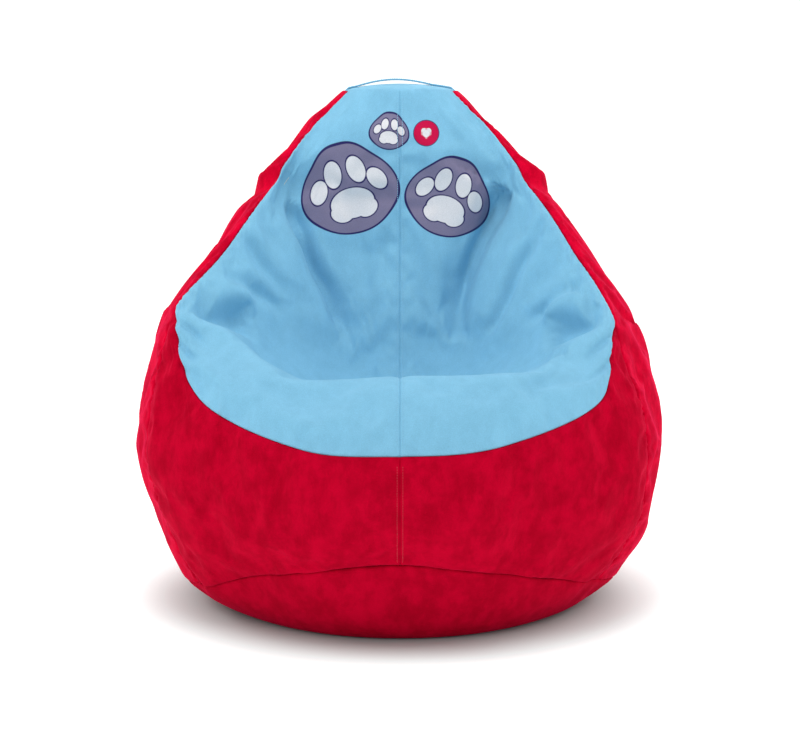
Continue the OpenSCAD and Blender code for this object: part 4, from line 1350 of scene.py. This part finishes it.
def make_pull():
    """The pull tab: an eye round the bar, a neck, and a plate with a grip hole."""
    bm = bmesh.new()
    neck, w = 2.3 * MM, 4.0 * MM
    sides = [(-neck, -1.6 * MM), (neck, -1.6 * MM), (neck, -6.6 * MM), (w, -8.2 * MM),
             (w, -26 * MM)]
    tip = [(w * math.cos(a), -26 * MM + w * math.sin(a)) for a in np.linspace(0, -math.pi, 25)]
    plate = sides + tip[1:-1] + [(-w, -26 * MM), (-w, -8.2 * MM), (-neck, -6.6 * MM)]
    outline_plate(bm, [plate, circle(0, -26 * MM, 2.0 * MM)], 1.6 * MM, 0.32 * MM, STAND)
    # A raised rim round the grip hole and two ribs to hold it by
    outline_plate(bm, [circle(0, -26 * MM, 3.1 * MM), circle(0, -26 * MM, 2.25 * MM)],
                  1.95 * MM, 0.2 * MM, STAND)
    for z in (-12.0, -14.4, -16.8):
        bevelled_box(bm, (-2.7 * MM, -0.95 * MM, (z - 0.45) * MM),
                     (2.7 * MM, 0.95 * MM, (z + 0.45) * MM), 0.22 * MM)
    outline_plate(bm, [circle(0, 0, 2.1 * MM, 40), circle(0, 0, 1.12 * MM, 32)], 4.6 * MM,
                  0.25 * MM, SIDEWAYS)
    finished("pull_tab", bm, COVER_ZIP, COVER_ZIP["slider"], metal, "pull", "zip_pull",
             BAR_Y)


def make_zip(prefix, zip_at, tape, nylon, nodes, bridge, body):
    for side, sign in SIDES:
        zip_tape(f"{prefix}_tape_{side}", sign, zip_at, tape, f"{nodes}_tape_{side}")
        zip_coil(f"{prefix}_coil_{side}", sign, zip_at, nylon, f"{nodes}_teeth_{side}")
    half = ROW_GAP + TEETH_W
    for end, z in (("top", zip_at["to"] - TEETH_END - STOP_LEN + 0.1 * MM),
                   ("bottom", zip_at["from"] + TEETH_END - 0.1 * MM)):
        bm = bmesh.new()
        bevelled_box(bm, (-half, -1.2 * MM, 0.0), (half, 1.2 * MM, STOP_LEN), 0.45 * MM, 4)
        # Two grooves where the clamp was pressed on
        for x in (-1.6, 1.6):
            bevelled_box(bm, ((x - 0.5) * MM, -1.32 * MM, 0.7 * MM),
                         ((x + 0.5) * MM, 1.32 * MM, 3.3 * MM), 0.2 * MM)
        finished(f"{prefix}_{end}_stop", bm, zip_at, z, metal, "bag", f"{nodes}_{end}_stop")
    bm = bmesh.new()
    slider_body(bm)
    if bridge:
        pull_bridge(bm)
    finished(f"{prefix}_slider_body", bm, zip_at, zip_at["slider"], metal, body,
             f"{nodes}_slider")


# ---------------------------------------------------------------- inner bag and fill

INNER_DEPTH, INNER_THICKNESS, FILL_DEPTH = 9.5 * MM, 0.8 * MM, 15.5 * MM


def spread_max(values, reach):
    """Largest value within reach cells of each one, then smoothed."""
    best = values
    for axis in (0, 1):
        layers = [np.roll(best, k, axis) if axis else shifted(best, k)
                  for k in range(-reach, reach + 1)]
        best = np.max(layers, axis=0)
    for axis in (0, 1):
        layers = [np.roll(best, k, axis) if axis else shifted(best, k)
                  for k in range(-reach, reach + 1)]
        best = np.mean(layers, axis=0)
    return best


def shifted(values, k):
    rows = np.clip(np.arange(len(values)) + k, 0, len(values) - 1)
    return values[rows]


# How much deeper the inner bag lies under the cover's folds
give_way = 1.25 * spread_max(np.maximum(-pushed, 0.0), 6)
give_way *= still_zone(plain_surface, column_us, row_ts)


def inner_surface(depth, wrinkle, seed):
    hold = still_zone(plain_surface, column_us, row_ts)
    normals = plain_ways + hold[..., None] * (even_ways - plain_ways)
    normals /= np.linalg.norm(normals, axis=2, keepdims=True)
    flat = plain_surface[..., 2] < 1.0 * MM
    normals[flat] = (0.0, 0.0, -1.0)
    normals[row_ts > TOP_ROW + 0.3] = (0.0, 0.0, 1.0)
    crumple = wrinkle * waves(plain_surface, 0.035, seed) * hold
    inward = depth + give_way + np.abs(crumple) + 14 * MM * neck_crest(62, 15)
    return plain_surface - normals * inward[..., None], normals


def make_inner_bag():
    points, normals = inner_surface(INNER_DEPTH, 1.3 * MM, 9)
    ts = ts_of(0, TOP_ROW + 0.9)
    for side, sign in SIDES:
        if sign > 0:
            grid = part_of(points, 0, 180, 0, TOP_ROW + 0.9)
        else:
            grid = part_of(points, -180, 0, 0, TOP_ROW + 0.9)
        grid = open_slot(grid, ts, INNER_ZIP_ROWS)[::2, ::2]
        grid[..., 0] = sign * np.maximum(sign * grid[..., 0], 0.25 * MM)
        normal = grid_normals(grid)
        mesh = slab_mesh(f"inner_bag_{side}", grid, grid - INNER_THICKNESS * normal)
        piece = add_piece(f"inner_bag_{side}", mesh, white_cloth, nodes=[f"liner_{side}"])
    skirt = part_of(points, -180, 180 - 360 / COLUMNS, -1, 0)[:-1, ::4]
    patch = [skirt[0] * np.array([k, k, 1.0]) for k in np.linspace(0.05, 1.0, 16)[:-1]]
    grid = np.concatenate([np.array(patch), skirt])
    wide = np.concatenate([grid[:, -2:], grid, grid[:, :2]], axis=1)
    normal = grid_normals(wide)[:, 2:-2]
    mesh = disc_slab("inner_bag_base", grid, grid - INNER_THICKNESS * normal,
                     (0, 0, grid[0, 0, 2]), (0, 0, grid[0, 0, 2] + INNER_THICKNESS))
    piece = add_piece("inner_bag_base", mesh, white_cloth, nodes=["liner_base"])


def make_fill():
    """The beads, packed against the inner bag."""
    points, normals = inner_surface(FILL_DEPTH, 1.0 * MM, 12)
    grid = points[::2, ::3]
    low, high = np.array([0, 0, FILL_DEPTH]), CAP_CENTRE - np.array([0, 0, FILL_DEPTH])
    patch = [grid[0] * np.array([k, k, 1.0]) for k in np.linspace(0.05, 1.0, 14)[:-1]]
    grid = np.concatenate([np.array(patch), grid])
    nr, nc = grid.shape[:2]
    at = np.arange(nr * nc).reshape(nr, nc)
    beside = np.roll(at, -1, axis=1)
    faces = np.stack([at[:-1], beside[:-1], beside[1:], at[1:]], -1).reshape(-1, 4).tolist()
    faces += [(nr * nc, int(q), int(p)) for p, q in zip(at[0], beside[0])]
    faces += [(nr * nc + 1, int(p), int(q)) for p, q in zip(at[-1], beside[-1])]
    mesh = mesh_of("bead_mass", np.concatenate([grid.reshape(-1, 3), [low, high]]), faces)
    fill = add_piece("bead_mass", mesh, beads, nodes=["bead_fill"])


# ---------------------------------------------------------------- the scene

make_camera()
make_lights()
make_floor()
scene.view_settings.view_transform = "Standard"
make_cover()
make_base()
make_cap()
make_handle()
make_zip("cover_zip", COVER_ZIP, red_tape, red_nylon, "zip", True, "slider")
make_zip("inner_zip", INNER_ZIP, white_tape, white_nylon,
         "liner_zip", False, "inner_slider")
make_pull()
make_inner_bag()
make_fill()
